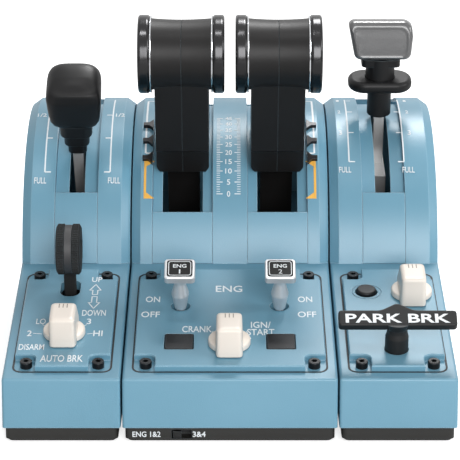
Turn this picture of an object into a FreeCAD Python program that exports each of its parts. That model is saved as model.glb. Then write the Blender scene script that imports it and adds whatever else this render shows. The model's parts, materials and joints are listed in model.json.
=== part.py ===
"""Throttle quadrant: a centre module with two thrust levers and, on either side of it, an add-on module
with one lever. Millimetres, +X to the right, +Y away from the user, +Z up. The origin is on the surface
that the unit stands on, at the middle of its footprint."""
import FreeCAD, Part
import math
import os

V = FreeCAD.Vector
X_AXIS = V(1, 0, 0)
Z_AXIS = V(0, 0, 1)
os.makedirs("parts", exist_ok=True)

# ---- driving dimensions: the three modules --------------------------------------------------------------
CENTRE_WIDTH = 122.0
SIDE_WIDTH = 67.0
MODULE_GAP = 1.0
WALL = 2.5
DECK_WALL = 5.0
FOOT_HEIGHT = 1.0
FOOT_RADIUS = 6.5
FOOT_IN = 21.0
FOOT_END = 30.0
TRAY_HEIGHT = 8.8
TRAY_INSET = 1.5
TRAY_TAPER = 1.5
TRAY_FLOOR = 2.5
TRAY_CORNER = 3.0
LIP_HEIGHT = 5.0
LIP_WALL = 1.5
FIT_GAP = 0.2
FRONT_FACE = 28.6
FRONT_LEAN = 7.5
PANEL_LENGTH = 136.1
PANEL_TILT = 9.7
DOME_RADIUS = 100.0
DOME_JOIN_ANGLE = 13.0
DOME_BEVEL_WIDTH = 5.5
DOME_BEVEL_DEPTH = 4.0
REAR_REACH = 62.0
EDGE_ROUND = 1.6

# ---- driving dimensions: lever channels, given as angles above the horizontal round the pivot -----------
CENTRE_CHANNEL = 37.4
CENTRE_CHANNEL_DEPTH = 5.5
CENTRE_SLOT = 25.0
CENTRE_START_ANGLE = 31.4
CENTRE_END_ANGLE = 122.0
SIDE_CHANNEL = 26.6
SIDE_CHANNEL_DEPTH = 4.5
SIDE_SLOT = 9.6
SIDE_START_ANGLE = 38.7
SIDE_END_ANGLE = 113.0
SLOT_SHORT_ANGLE = 2.5
RIB = 1.6
LEDGE = 2.0
SEAM_GAP = 0.15
LEVER_SPACING = 29.5
SHAFT_RADIUS = 4.0
RUNNING_GAP = 0.05
SIDE_PLAY = 0.3
UPRIGHT = 2.5
UPRIGHT_GAP = 0.3
UPRIGHT_DEPTH = 40.0

# ---- driving dimensions: face plates, along the panel (u) and above it (n) ------------------------------
PLATE_MARGIN = 6.2
PLATE_FRONT = 7.9
PLATE_LENGTH = 113.9
PLATE_CORNER = 4.5
PLATE_RISE = 4.0
PLATE_SEAT = 2.0
PLATE_GAP = 0.5
PLATE_EDGE = 0.6
SCREW_SIDE = 6.8
SCREW_END = 5.6
WELL_X = 5.2
WELL_U = 7.0
WELL_CORNER = 4.0
SCREW_HEAD_R = 3.5
SCREW_HEAD_H = 4.0
SCREW_R = 2.0
THREAD_GAP = 0.05
HOLE_GAP = 0.25
SEAT_EDGE = 3.5
BOSS_SPACE = 9.0
SCREW_BOSS_R = 4.0
WINDOW_CORNER = 3.0
HEX_ACROSS = 3.0
HEX_DEPTH = 2.2
SCREW_LENGTH = 10.0
CROSS_HALF = 2.0
BOARD_DEPTH = 18.0
BOARD_THICK = 1.6

# ---- driving dimensions: panel controls, (x from the module's middle, u from the front edge) -------------
KNOB_DISC_R = 12.2
KNOB_DISC_H = 3.4
KNOB_BAR_WIDTH = 15.7
KNOB_TAPER = 0.4
KNOB_HALF_LENGTH = 16.9
KNOB_TOP_BACK = 4.0
KNOB_HEIGHT = 18.0
KNOB_LIFT = 0.4
KNOB_SHAFT_R = 3.0
PLATE_END = PLATE_FRONT + PLATE_LENGTH
PLATE_MIDDLE = PLATE_FRONT + PLATE_LENGTH / 2
AUTOBRAKE_AT = (-0.7, PLATE_FRONT + 35.9)
MODE_AT = (-0.4, PLATE_FRONT + 24.6)
TRIM_AT = (13.3, PLATE_END - 30.5)
GEAR_AT = (-0.6, PLATE_END - 24.0)
GEAR_SLOT = (11.9, 20.0)
GEAR_WHEEL_R = 15.2
GEAR_WHEEL_WIDTH = 14.4
GEAR_WHEEL_ABOVE = 26.7
GEAR_PIVOT_DEPTH = 14.0
GEAR_STEM = (7.2, 6.0)
TOGGLE_X = 29.3
TOGGLE_U = PLATE_MIDDLE + 11.2
TOGGLE_LEAN = 15.0
TOGGLE_PIVOT_DEPTH = 7.0
TOGGLE_HOLE_R = 5.8
TOGGLE_CAP = 18.0
TOGGLE_CAP_THICK = 4.4
TOGGLE_REACH = 31.0
TOGGLE_BULB_R = 5.1
TOGGLE_TOP_R = 3.1
TILE_X = 29.4
TILE_U = PLATE_FRONT + 26.9
TILE_SIZE = (16.6, 17.2)
TILE_PROUD = 0.3
ROUND_AT = (-13.6, PLATE_END - 28.4)
ROUND_R = 6.0
ROUND_PROUD = 2.2
ROUND_WELL_R = 6.8
ROUND_GROOVE_R = 8.7
BUTTON_GAP = 0.3
BUTTON_TRAVEL = 1.0
PLUNGER_R = 1.5
PLUNGER_LENGTH = 9.0
PARK_U = PLATE_FRONT + 18.7
PARK_STEM_R = 6.7
PARK_REACH = 19.0
PARK_WIDTH = 67.6
PARK_DEPTH = 11.0
PARK_THICK = 5.2
PARK_FACE_LEAN = 23.0
PARK_PEAK = 4.6
PARK_PEAK_FOOT = 9.5
SLIDER_X = -27.4
SLIDER_WINDOW = (11.5, 5.4)
SLIDER_TRAVEL = 5.0

# ---- driving dimensions: levers; radii are from the pivot, angles are those of the rest pose -------------
THRUST_ANGLE = 62.0
BLOCK_WIDTH = 32.8
BLOCK_HALF_DEPTH = 23.6
BLOCK_TOP_HALF_DEPTH = 18.0
BLOCK_SHOULDER = DOME_RADIUS + 12.0
SHOE_UNDERCUT = 1.6
SHOE_CLEARANCE = 0.8
GRIP_AT = DOME_RADIUS + 71.5
GRIP_WIDTH = 52.4
GRIP_R = 21.8
GRIP_WAIST_R = 20.9
RING_R = 23.85
RING_WIDTH = 7.2
RING_ROUND = 1.8
DISC_SUNK = 1.2
GRIP_WALL = 2.4
HALF_GAP = 0.1
ARM_WIDTH = 20.0
ARM_DEPTH = 22.0
ARM_WALL = 3.0
ARM_TOP = BLOCK_SHOULDER + 20.0
DISCONNECT_R = 7.0
DISCONNECT_PROUD = 1.6
BRAKE_ANGLE = 58.0
BRAKE_NECK_BASE = DOME_RADIUS + 2.0
BRAKE_KNOB_BASE = BRAKE_NECK_BASE + 27.0
BRAKE_KNOB_HEIGHT = 34.5
BRAKE_KNOB_WIDTH = 34.0
BRAKE_KNOB_FRONT = 14.0
BRAKE_KNOB_BACK = 18.0
BRAKE_TANG = 11.0
FLAP_ANGLE = 79.6
PADDLE_LEFT = 22.1
PADDLE_RIGHT = 20.1
PADDLE_BASE = DOME_RADIUS + 39.7
PADDLE_HEIGHT = 24.3
PADDLE_HALF_DEPTH = 10.5
COLLAR_AT = DOME_RADIUS + 21.5
COLLAR_TRAVEL = 5.0
BLADE_WIDTH = 6.4

# ---- sizes that follow from those above -----------------------------------------------------------------
SHELL_BASE = FOOT_HEIGHT + TRAY_HEIGHT
TRAY_TOP_OF_FLOOR = FOOT_HEIGHT + TRAY_FLOOR


def rad(angle):
    return math.radians(angle)


FRONT_BACK = FRONT_FACE * math.sin(rad(FRONT_LEAN))
PANEL_RUN = PANEL_LENGTH * math.cos(rad(PANEL_TILT))
PIVOT_RUN = DOME_RADIUS * math.cos(rad(DOME_JOIN_ANGLE))
DEPTH = FRONT_BACK + PANEL_RUN + PIVOT_RUN + REAR_REACH
FRONT_Y = -DEPTH / 2
REAR_Y = DEPTH / 2
LIP_Y = FRONT_Y + FRONT_BACK
LIP_Z = SHELL_BASE + FRONT_FACE * math.cos(rad(FRONT_LEAN))
JOIN_Y = LIP_Y + PANEL_RUN
JOIN_Z = LIP_Z + PANEL_LENGTH * math.sin(rad(PANEL_TILT))
PIVOT_Y = JOIN_Y + PIVOT_RUN
PIVOT_Z = JOIN_Z - DOME_RADIUS * math.sin(rad(DOME_JOIN_ANGLE))
CENTRE_CHANNEL_R = DOME_RADIUS - CENTRE_CHANNEL_DEPTH
SIDE_CHANNEL_R = DOME_RADIUS - SIDE_CHANNEL_DEPTH
SIDE_X = CENTRE_WIDTH / 2 + MODULE_GAP + SIDE_WIDTH / 2
BIG = 500.0

MODULES = {
    "left": (-SIDE_X, SIDE_WIDTH),
    "centre": (0.0, CENTRE_WIDTH),
    "right": (SIDE_X, SIDE_WIDTH),
}


# ---- small helpers --------------------------------------------------------------------------------------
def box(x0, x1, y0, y1, z0, z1):
    return Part.makeBox(x1 - x0, y1 - y0, z1 - z0, V(x0, y0, z0))


def rod(radius, start, end):
    """Cylinder between two points."""
    axis = end - start
    return Part.makeCylinder(radius, axis.Length, start, axis)


def rod_x(radius, x0, x1, y=0.0, z=0.0):
    return rod(radius, V(x0, y, z), V(x1, y, z))


def rod_z(radius, x, y, z0, z1):
    return rod(radius, V(x, y, z0), V(x, y, z1))


def rounded_wire(points):
    """Closed wire through (point, corner radius) pairs; a radius of 0 leaves the corner sharp."""
    corners = [(V(p), r) for p, r in points]
    ends = []
    for i, (corner, radius) in enumerate(corners):
        before = (corners[i - 1][0] - corner).normalize()
        after = (corners[(i + 1) % len(corners)][0] - corner).normalize()
        half = before.getAngle(after) / 2
        cut = radius / math.tan(half)
        towards = radius / math.sin(half) - radius
        middle = corner + (before + after).normalize() * towards if radius else corner
        ends.append((corner + before * cut, middle, corner + after * cut, radius))
    edges = []
    for i, (first, middle, last, radius) in enumerate(ends):
        if radius:
            edges.append(Part.Arc(first, middle, last).toShape())
        following = ends[(i + 1) % len(ends)][0]
        if (following - last).Length > 1e-6:
            edges.append(Part.makeLine(last, following))
    return Part.Wire(edges)


def prism(points, direction):
    return Part.Face(rounded_wire(points)).extrude(direction)


def side_prism(profile, x0, x1):
    """Extrude a (y, z, corner radius) outline along X."""
    return prism([(V(x0, y, z), r) for y, z, r in profile], V(x1 - x0, 0, 0))


def front_prism(profile, y0, y1):
    """Extrude an (x, z, corner radius) outline along Y."""
    return prism([(V(x, y0, z), r) for x, z, r in profile], V(0, y1 - y0, 0))


def plan_prism(profile, z0, z1):
    """Extrude an (x, y, corner radius) outline along Z."""
    return prism([(V(x, y, z0), r) for x, y, r in profile], V(0, 0, z1 - z0))


def plan_block(x, y, width, length, corner, z0, z1):
    turns = [(-1, -1), (1, -1), (1, 1), (-1, 1)]
    return plan_prism([(x + a * width / 2, y + b * length / 2, corner) for a, b in turns], z0, z1)


def sector(inner, outer, start, end, x0, x1):
    """Part of a tube round the lever pivot, between two angles above the horizontal, user's side first."""
    def at(radius, angle):
        return V(x0, PIVOT_Y - radius * math.cos(rad(angle)), PIVOT_Z + radius * math.sin(rad(angle)))
    middle = (start + end) / 2
    edges = [
        Part.Arc(at(outer, start), at(outer, middle), at(outer, end)).toShape(),
        Part.makeLine(at(outer, end), at(inner, end)),
        Part.Arc(at(inner, end), at(inner, middle), at(inner, start)).toShape(),
        Part.makeLine(at(inner, start), at(outer, start)),
    ]
    return Part.Face(Part.Wire(edges)).extrude(V(x1 - x0, 0, 0))


def turned(profile, base, axis):
    """Revolve (radius, height) points about an axis that starts at base and points along Z."""
    points = [V(r, 0, h) for r, h in profile]
    shape = Part.Face(Part.makePolygon(points + points[:1])).revolve(V(0, 0, 0), Z_AXIS, 360)
    shape.Placement = FreeCAD.Placement(base, FreeCAD.Rotation(Z_AXIS, axis))
    return Part.makeCompound([shape]).Solids[0]


def on_panel(shape, module):
    """Place a shape drawn flat (x, u, n) on the sloping panel of a module."""
    placed = shape.copy()
    placed.rotate(V(0, 0, 0), X_AXIS, PANEL_TILT)
    placed.translate(V(MODULES[module][0], LIP_Y, LIP_Z))
    return placed


def on_pivot(shape, angle, x):
    """Place a shape drawn upright about the origin at an angle round the lever pivot."""
    placed = shape.copy()
    placed.rotate(V(0, 0, 0), X_AXIS, 90 - angle)
    placed.translate(V(x, PIVOT_Y, PIVOT_Z))
    return placed


def save(name, solids):
    shape = solids if isinstance(solids, Part.Shape) else Part.makeCompound(solids)
    shape.exportStep("parts/" + name + ".step")


# ---- shells: wedge with a sloping deck in front, dome round the lever pivot behind -----------------------
def module_outline(inset, deck_inset, base, waist_z):
    """Corners of the wedge below the deck, drawn in by the given walls, and up to waist_z under the dome."""
    lean = FRONT_LEAN
    front_top_y = LIP_Y + inset / math.cos(rad(lean)) - deck_inset * math.tan(rad(lean))
    front_top_z = LIP_Z - deck_inset / math.cos(rad(PANEL_TILT)) + inset * math.tan(rad(PANEL_TILT))
    front_low_y = FRONT_Y + inset + (base - SHELL_BASE) * math.tan(rad(lean))
    deck_back_z = front_top_z + (JOIN_Y + inset - front_top_y) * math.tan(rad(PANEL_TILT))
    return [
        (front_low_y, base, 0),
        (front_top_y, front_top_z, 0),
        (JOIN_Y + inset, deck_back_z, 0),
        (PIVOT_Y, waist_z, 0),
        (REAR_Y - inset, waist_z, 0),
        (REAR_Y - inset, base, 0),
    ]


def dome_body(x0, x1, inset, bevel_x, bevel_r):
    """Turned dome with bevelled rims, cut off by the rear wall and by the line where the deck meets it."""
    radius = DOME_RADIUS - inset
    rim = [(x0, 0), (x1, 0), (x1, radius - bevel_r), (x1 - bevel_x, radius), (x0 + bevel_x, radius)]
    rim.append((x0, radius - bevel_r))
    if not bevel_x:
        rim = [(x0, 0), (x1, 0), (x1, radius), (x0, radius)]
    points = [V(x, PIVOT_Y - r, PIVOT_Z) for x, r in rim]
    face = Part.Face(Part.makePolygon(points + points[:1]))
    face.rotate(V(0, PIVOT_Y, PIVOT_Z), X_AXIS, -DOME_JOIN_ANGLE)
    dome = face.revolve(V(0, PIVOT_Y, PIVOT_Z), X_AXIS, DOME_JOIN_ANGLE - 180)
    return dome.common(box(x0, x1, -BIG, REAR_Y - inset, PIVOT_Z - 1, BIG))


def shaft_support_x(width):
    """Inner face of the uprights that carry the lever shaft, measured from the module's middle."""
    return width / 2 - WALL - FIT_GAP - LIP_WALL - UPRIGHT_GAP - UPRIGHT


def screw_spots(width):
    """Places of the four face plate screws, as (x from the module's middle, u)."""
    side = width / 2 - PLATE_MARGIN - SCREW_SIDE
    return [(x, u) for x in (-side, side) for u in (PLATE_FRONT + SCREW_END, PLATE_END - SCREW_END)]


BASE_SCREW_IN = 9.0
BASE_SCREW_END = 13.0
BASE_BOSS_R = 4.0
BASE_BOSS_TOP = 24.0


def base_spots(width):
    side = width / 2 - BASE_SCREW_IN
    return [(x, y) for x in (-side, side) for y in (FRONT_Y + BASE_SCREW_END, REAR_Y - BASE_SCREW_END)]


def lever_places(module):
    """(x, channel width, slot width, floor radius, start and end angle) of each lever's channel."""
    if module == "centre":
        channel = (CENTRE_CHANNEL, CENTRE_SLOT, CENTRE_CHANNEL_R, CENTRE_START_ANGLE, CENTRE_END_ANGLE)
        return [(side * LEVER_SPACING, *channel) for side in (-1, 1)]
    return [(MODULES[module][0], SIDE_CHANNEL, SIDE_SLOT, SIDE_CHANNEL_R, SIDE_START_ANGLE, SIDE_END_ANGLE)]


def make_shell(module):
    x, width = MODULES[module]
    x0 = x - width / 2
    x1 = x + width / 2
    wedge = side_prism(module_outline(0, 0, SHELL_BASE, PIVOT_Z), x0, x1)
    long_edges = [e for e in wedge.Edges if deck_edge(e)]
    wedge = wedge.makeFillet(EDGE_ROUND, long_edges)
    outer = wedge.fuse(dome_body(x0, x1, 0, DOME_BEVEL_WIDTH, DOME_BEVEL_DEPTH))
    inner = side_prism(module_outline(WALL, DECK_WALL, SHELL_BASE - 1, JOIN_Z), x0 + WALL, x1 - WALL)
    inner = inner.fuse(dome_body(x0 + WALL, x1 - WALL, WALL + DOME_BEVEL_DEPTH / 2, 0, 0))
    shell = outer.cut(inner)
    for lever_x, channel, _, floor_r, start, end in lever_places(module):
        half = channel / 2
        track_r = floor_r - WALL
        rib_r = track_r - RIB
        behind = end + math.degrees(WALL / DOME_RADIUS)
        shell = shell.cut(sector(rib_r - 1, BIG / 4, DOME_JOIN_ANGLE, end, lever_x - half, lever_x + half))
        for side in (-1, 1):
            outer_x = lever_x + side * (half + RIB)
            wall_x = lever_x + side * half
            ledge_x = lever_x + side * (half - LEDGE)
            wall = sector(rib_r, DOME_RADIUS - WALL, DOME_JOIN_ANGLE + 2, end, *sorted((wall_x, outer_x)))
            ledge = sector(rib_r, track_r - SEAM_GAP, start, end, *sorted((ledge_x, outer_x)))
            shell = shell.fuse([wall, ledge])
        reach = half + RIB
        end_wall = sector(rib_r, DOME_RADIUS - WALL / 2, end, behind, lever_x - reach, lever_x + reach)
        shell = shell.fuse(end_wall)
    plate_width = width - 2 * PLATE_MARGIN
    pocket = plan_block(0, PLATE_MIDDLE, plate_width + 2 * PLATE_GAP, PLATE_LENGTH + 2 * PLATE_GAP,
                        PLATE_CORNER + PLATE_GAP, -PLATE_SEAT, BIG / 10)
    between_screws = PLATE_LENGTH - 2 * (SCREW_END + BOSS_SPACE)
    across = plan_block(0, PLATE_MIDDLE, plate_width - 2 * SEAT_EDGE, between_screws, WINDOW_CORNER,
                        -BIG / 20, 1)
    beside_screws = plate_width - 2 * (SCREW_SIDE + BOSS_SPACE)
    along = plan_block(0, PLATE_MIDDLE, beside_screws, PLATE_LENGTH - 2 * SEAT_EDGE, WINDOW_CORNER,
                       -BIG / 20, 1)
    window = across.fuse(along)
    bosses = [rod_z(SCREW_BOSS_R, sx, su, -SCREW_LENGTH - 1, -PLATE_SEAT) for sx, su in screw_spots(width)]
    threads = [rod_z(SCREW_R + THREAD_GAP, sx, su, -SCREW_LENGTH, 1) for sx, su in screw_spots(width)]
    shell = shell.cut(on_panel(pocket, module)).fuse([on_panel(b, module) for b in bosses])
    shell = shell.cut([on_panel(window, module)] + [on_panel(t, module) for t in threads])
    for bx, by in base_spots(width):
        post = rod_z(BASE_BOSS_R, x + bx, by, TRAY_TOP_OF_FLOOR, SHELL_BASE + BASE_BOSS_TOP)
        wall_x = x + math.copysign(width / 2 - WALL / 2, bx)
        rib = box(*sorted((x + bx, wall_x)), by - RIB, by + RIB, SHELL_BASE, SHELL_BASE + BASE_BOSS_TOP)
        thread = rod_z(SCREW_R + THREAD_GAP, x + bx, by, 0, SHELL_BASE + BASE_BOSS_TOP - 4)
        shell = shell.fuse([post, rib]).cut(thread)
    if module == "centre":
        shell = shell.cut(socket_window())
    return shell.removeSplitter()


def deck_edge(edge):
    """The wedge's edges that are rounded: the front lip and the deck's and front face's long sides."""
    middle = edge.valueAt((edge.FirstParameter + edge.LastParameter) / 2)
    on_lip = abs(middle.y - LIP_Y) < 0.01 and abs(middle.z - LIP_Z) < 0.01
    along_deck = LIP_Y < middle.y < JOIN_Y - 1 and middle.z > LIP_Z
    along_front = middle.y < LIP_Y and middle.z > SHELL_BASE + 1
    return on_lip or along_deck or along_front


# ---- tracks: the strip let into the dome in which each lever's slot is cut -------------------------------
def make_track(lever_x, channel, slot, floor_r, start, end):
    half = channel / 2 - SEAM_GAP
    x0 = lever_x - half
    x1 = lever_x + half
    track_r = floor_r - WALL
    step = math.degrees(WALL / DOME_RADIUS)
    seam = math.degrees(SEAM_GAP / DOME_RADIUS)
    low = sector(DOME_RADIUS - WALL, DOME_RADIUS, DOME_JOIN_ANGLE + seam, start, x0, x1)
    wall = sector(track_r, DOME_RADIUS, start - step, start, x0, x1)
    floor = sector(track_r, floor_r, start - step, end - seam, x0, x1)
    slot_end = end - SLOT_SHORT_ANGLE
    opening = sector(track_r - 1, floor_r + 1, start, slot_end, lever_x - slot / 2, lever_x + slot / 2)
    return low.fuse([wall, floor]).cut(opening).removeSplitter()


# ---- detent tabs: three raised fingers on the dome beside each thrust lever ------------------------------
TAB_ANGLES = (52.4, 60.5, 69.1)
TAB_REACH = 6.4
TAB_HEIGHT = 2.4
TAB_ROOT = 9.4
TAB_TIP = 3.0
TAB_SHOULDER = 0.45


def make_detent_tabs():
    tabs = []
    for side in (-1, 1):
        root_x = side * (LEVER_SPACING + CENTRE_CHANNEL / 2 + 0.2)
        tip_x = root_x + side * TAB_REACH
        for angle in TAB_ANGLES:
            outline = [
                (root_x, -TAB_ROOT / 2, 0),
                (root_x + side * TAB_REACH * TAB_SHOULDER, -TAB_TIP / 2, 2.0),
                (tip_x, -TAB_TIP / 2, 0.5),
                (tip_x, TAB_TIP / 2, 0.5),
                (root_x + side * TAB_REACH * TAB_SHOULDER, TAB_TIP / 2, 2.0),
                (root_x, TAB_ROOT / 2, 0),
            ]
            tab = plan_prism(outline, DOME_RADIUS - 2, DOME_RADIUS + TAB_HEIGHT)
            skin = rod_x(DOME_RADIUS + 0.02, -BIG, BIG)
            tabs.append(on_pivot(tab.cut(skin), angle, 0))
    return tabs


# ---- trays, feet and what fastens them -------------------------------------------------------------------
LINK_THICK = 1.5
LINK_WIDTH = 14.0
LINK_LENGTH = 44.0
LINK_Y = (-95.0, 95.0)
LINK_HOLE_IN = 7.0
FIXING_X = 60.0
FIXING_Y = 180.0
FIXING_R = 2.5


def link_spots():
    seam = CENTRE_WIDTH / 2 + MODULE_GAP / 2
    return [(side * seam, y) for side in (-1, 1) for y in LINK_Y]


def link_holes():
    reach = LINK_LENGTH / 2 - LINK_HOLE_IN
    return [(x + way * reach, y) for x, y in link_spots() for way in (-1, 1)]


def foot_spots(module):
    x, width = MODULES[module]
    side = width / 2 - FOOT_IN
    return [(x + s * side, y) for s in (-1, 1) for y in (FRONT_Y + FOOT_END, REAR_Y - FOOT_END)]


def make_tray(module):
    x, width = MODULES[module]
    half = width / 2 - TRAY_INSET
    front = FRONT_Y + TRAY_INSET
    rear = REAR_Y - TRAY_INSET
    step_z = FOOT_HEIGHT + TRAY_TAPER
    low = plan_block(x, 0, 2 * (half - TRAY_TAPER), rear - front - 2 * TRAY_TAPER, TRAY_CORNER,
                     FOOT_HEIGHT, step_z)
    body = plan_block(x, 0, 2 * half, rear - front, TRAY_CORNER, step_z, SHELL_BASE)
    lip_x = width / 2 - WALL - FIT_GAP
    lip_front = FRONT_Y + WALL + FIT_GAP + (LIP_HEIGHT * math.tan(rad(FRONT_LEAN)))
    lip_rear = REAR_Y - WALL - FIT_GAP
    lip_middle = (lip_front + lip_rear) / 2
    lip_top = SHELL_BASE + LIP_HEIGHT
    lip = plan_block(x, lip_middle, 2 * lip_x, lip_rear - lip_front, 2, SHELL_BASE - 1, lip_top)
    hollow = plan_block(x, lip_middle, 2 * (lip_x - LIP_WALL), lip_rear - lip_front - 2 * LIP_WALL, 1,
                        TRAY_TOP_OF_FLOOR, BIG)
    tray = low.fuse([body, lip]).cut(hollow)
    for bx, by in base_spots(width):
        tray = tray.cut(rod_z(BASE_BOSS_R + FIT_GAP, x + bx, by, TRAY_TOP_OF_FLOOR, BIG))
        wall_x = x + math.copysign(width / 2, bx)
        rib = RIB + FIT_GAP
        tray = tray.cut(box(*sorted((x + bx, wall_x)), by - rib, by + rib, SHELL_BASE, BIG))
        tray = tray.cut(rod_z(SCREW_R + HOLE_GAP, x + bx, by, 0, BIG))
        tray = tray.cut(rod_z(SCREW_HEAD_R + FIT_GAP, x + bx, by, 0, FOOT_HEIGHT + 1.2))
    for fx, fy in foot_spots(module):
        tray = tray.cut(rod_z(FOOT_RADIUS + FIT_GAP / 2, fx, fy, 0, FOOT_HEIGHT + 1))
    for lx, ly in link_spots():
        recess_top = FOOT_HEIGHT + LINK_THICK
        tray = tray.cut(plan_block(lx, ly, LINK_LENGTH + FIT_GAP, LINK_WIDTH + FIT_GAP, 2, 0, recess_top))
    pads = [rod_z(4, hx, hy, FOOT_HEIGHT + LINK_THICK, TRAY_TOP_OF_FLOOR + 3) for hx, hy in link_holes()
            if abs(hx - x) < width / 2]
    tray = tray.fuse(pads)
    for hx, hy in link_holes():
        tray = tray.cut(rod_z(SCREW_R + THREAD_GAP, hx, hy, 0, BIG))
    if module == "centre":
        spots = [(sx * FIXING_X / 2, sy * FIXING_Y / 2) for sx in (-1, 1) for sy in (-1, 1)]
        tray = tray.fuse([rod_z(2 * FIXING_R, px, py, FOOT_HEIGHT, SHELL_BASE) for px, py in spots])
        tray = tray.cut([rod_z(FIXING_R, px, py, 0, BIG) for px, py in spots])
        middle_z = FOOT_HEIGHT + TRAY_HEIGHT / 2
        long, high = SLIDER_WINDOW
        window = box(SLIDER_X - long / 2, SLIDER_X + long / 2, FRONT_Y - 1, FRONT_Y + 9,
                     middle_z - high / 2, middle_z + high / 2)
        tray = tray.cut(window)
    return tray.removeSplitter()


def make_feet():
    feet = []
    for module in MODULES:
        for fx, fy in foot_spots(module):
            feet.append(rod_z(FOOT_RADIUS, fx, fy, 0, FOOT_HEIGHT + 1))
    return feet


def cap_screw(length):
    """Socket head screw, head up, with the head's underside at the origin."""
    head = Part.makeCylinder(SCREW_HEAD_R, SCREW_HEAD_H)
    rim = head.Edges[0] if head.Edges[0].BoundBox.ZMin > 1 else head.Edges[2]
    head = head.makeChamfer(0.4, [rim])
    corner = HEX_ACROSS / math.sqrt(3)
    hexagon = [(corner * math.cos(rad(a)), corner * math.sin(rad(a)), 0) for a in range(0, 360, 60)]
    socket = plan_prism(hexagon, SCREW_HEAD_H - HEX_DEPTH, SCREW_HEAD_H + 1)
    return head.cut(socket).fuse(rod_z(SCREW_R, 0, 0, -length, 0)).removeSplitter()


def make_plate_screws():
    screws = []
    for module, (x, width) in MODULES.items():
        for sx, su in screw_spots(width):
            screw = cap_screw(SCREW_LENGTH - 0.5)
            screw.translate(V(sx, su, 0))
            screws.append(on_panel(screw, module))
    return screws


def flat_screw(head_r, head_h, length):
    """Thin headed screw, head down, with the head's upper face at the origin."""
    head = rod_z(head_r, 0, 0, -head_h, 0)
    arm = box(-CROSS_HALF, CROSS_HALF, -CROSS_HALF / 5, CROSS_HALF / 5, -head_h - 1, -head_h / 2)
    other = arm.copy()
    other.rotate(V(0, 0, 0), Z_AXIS, 90)
    return head.cut([arm, other]).fuse(rod_z(SCREW_R, 0, 0, 0, length)).removeSplitter()


def make_base_screws():
    screws = []
    for x, width in MODULES.values():
        for bx, by in base_spots(width):
            screw = flat_screw(SCREW_HEAD_R, 1.1, BASE_BOSS_TOP)
            screw.translate(V(x + bx, by, FOOT_HEIGHT + 1.2))
            screws.append(screw)
    return screws


def make_link_plates():
    plates = []
    for lx, ly in link_spots():
        plate = plan_block(lx, ly, LINK_LENGTH, LINK_WIDTH, 2, FOOT_HEIGHT + 0.1, FOOT_HEIGHT + LINK_THICK)
        for hx, hy in link_holes():
            plate = plate.cut(rod_z(SCREW_R + HOLE_GAP, hx, hy, 0, BIG))
        plates.append(plate)
    return plates


def make_link_screws():
    screws = []
    for hx, hy in link_holes():
        screw = flat_screw(SCREW_HEAD_R, FOOT_HEIGHT - 0.2, LINK_THICK + 4)
        screw.translate(V(hx, hy, FOOT_HEIGHT + 0.1))
        screws.append(screw)
    return screws


# ---- face plates ----------------------------------------------------------------------------------------
def make_face_plate(module):
    x, width = MODULES[module]
    plate_width = width - 2 * PLATE_MARGIN
    plate = plan_block(0, PLATE_MIDDLE, plate_width, PLATE_LENGTH, PLATE_CORNER, -PLATE_SEAT, PLATE_RISE)
    for sx, su in screw_spots(width):
        inner_x = sx - math.copysign(WELL_X, sx)
        outer_x = math.copysign(width, sx)
        inner_u = su + (WELL_U if su < PLATE_MIDDLE else -WELL_U)
        outer_u = -WELL_U if su < PLATE_MIDDLE else PANEL_LENGTH + WELL_U
        corners = [(inner_x, inner_u, WELL_CORNER), (outer_x, inner_u, 0), (outer_x, outer_u, 0),
                   (inner_x, outer_u, 0)]
        plate = plate.cut(plan_prism(corners, 0, BIG))
        plate = plate.cut(rod_z(SCREW_R + HOLE_GAP, sx, su, -10, 1))
    top = [e for e in plate.Edges if e.BoundBox.ZMin > PLATE_RISE - 0.01]
    plate = plate.makeChamfer(PLATE_EDGE, top)
    for cutter in PLATE_CUTS[module]:
        plate = plate.cut(cutter)
    return on_panel(plate.removeSplitter(), module)


def through(radius, spot):
    return rod_z(radius, spot[0], spot[1], -BIG / 10, BIG / 10)


def groove(radius, spot):
    ring = rod_z(radius + 0.4, spot[0], spot[1], PLATE_RISE - 0.5, PLATE_RISE + 1)
    return ring.cut(rod_z(radius - 0.4, spot[0], spot[1], PLATE_RISE - 1, PLATE_RISE + 2))


TOGGLE_SPOTS = [(side * TOGGLE_X, TOGGLE_U) for side in (-1, 1)]
TILE_SPOTS = [(side * TILE_X, TILE_U) for side in (-1, 1)]
TILE_HOLE = [side + 2 * BUTTON_GAP for side in TILE_SIZE]
SHAFT_HOLE = KNOB_SHAFT_R + 0.2
PLATE_CUTS = {
    "left": [
        plan_block(*GEAR_AT, *GEAR_SLOT, GEAR_SLOT[0] / 2 - 0.5, -BIG / 10, BIG / 10),
        through(SHAFT_HOLE, AUTOBRAKE_AT),
    ],
    "centre": [through(TOGGLE_HOLE_R, spot) for spot in TOGGLE_SPOTS] + [through(SHAFT_HOLE, MODE_AT)] + [
        plan_block(*spot, *TILE_HOLE, 1.3, -BIG / 10, BIG / 10) for spot in TILE_SPOTS],
    "right": [
        through(SHAFT_HOLE, TRIM_AT),
        through(ROUND_WELL_R, ROUND_AT),
        groove(ROUND_GROOVE_R, ROUND_AT),
        through(PARK_STEM_R + BUTTON_GAP, (0, PARK_U)),
    ],
}


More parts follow.
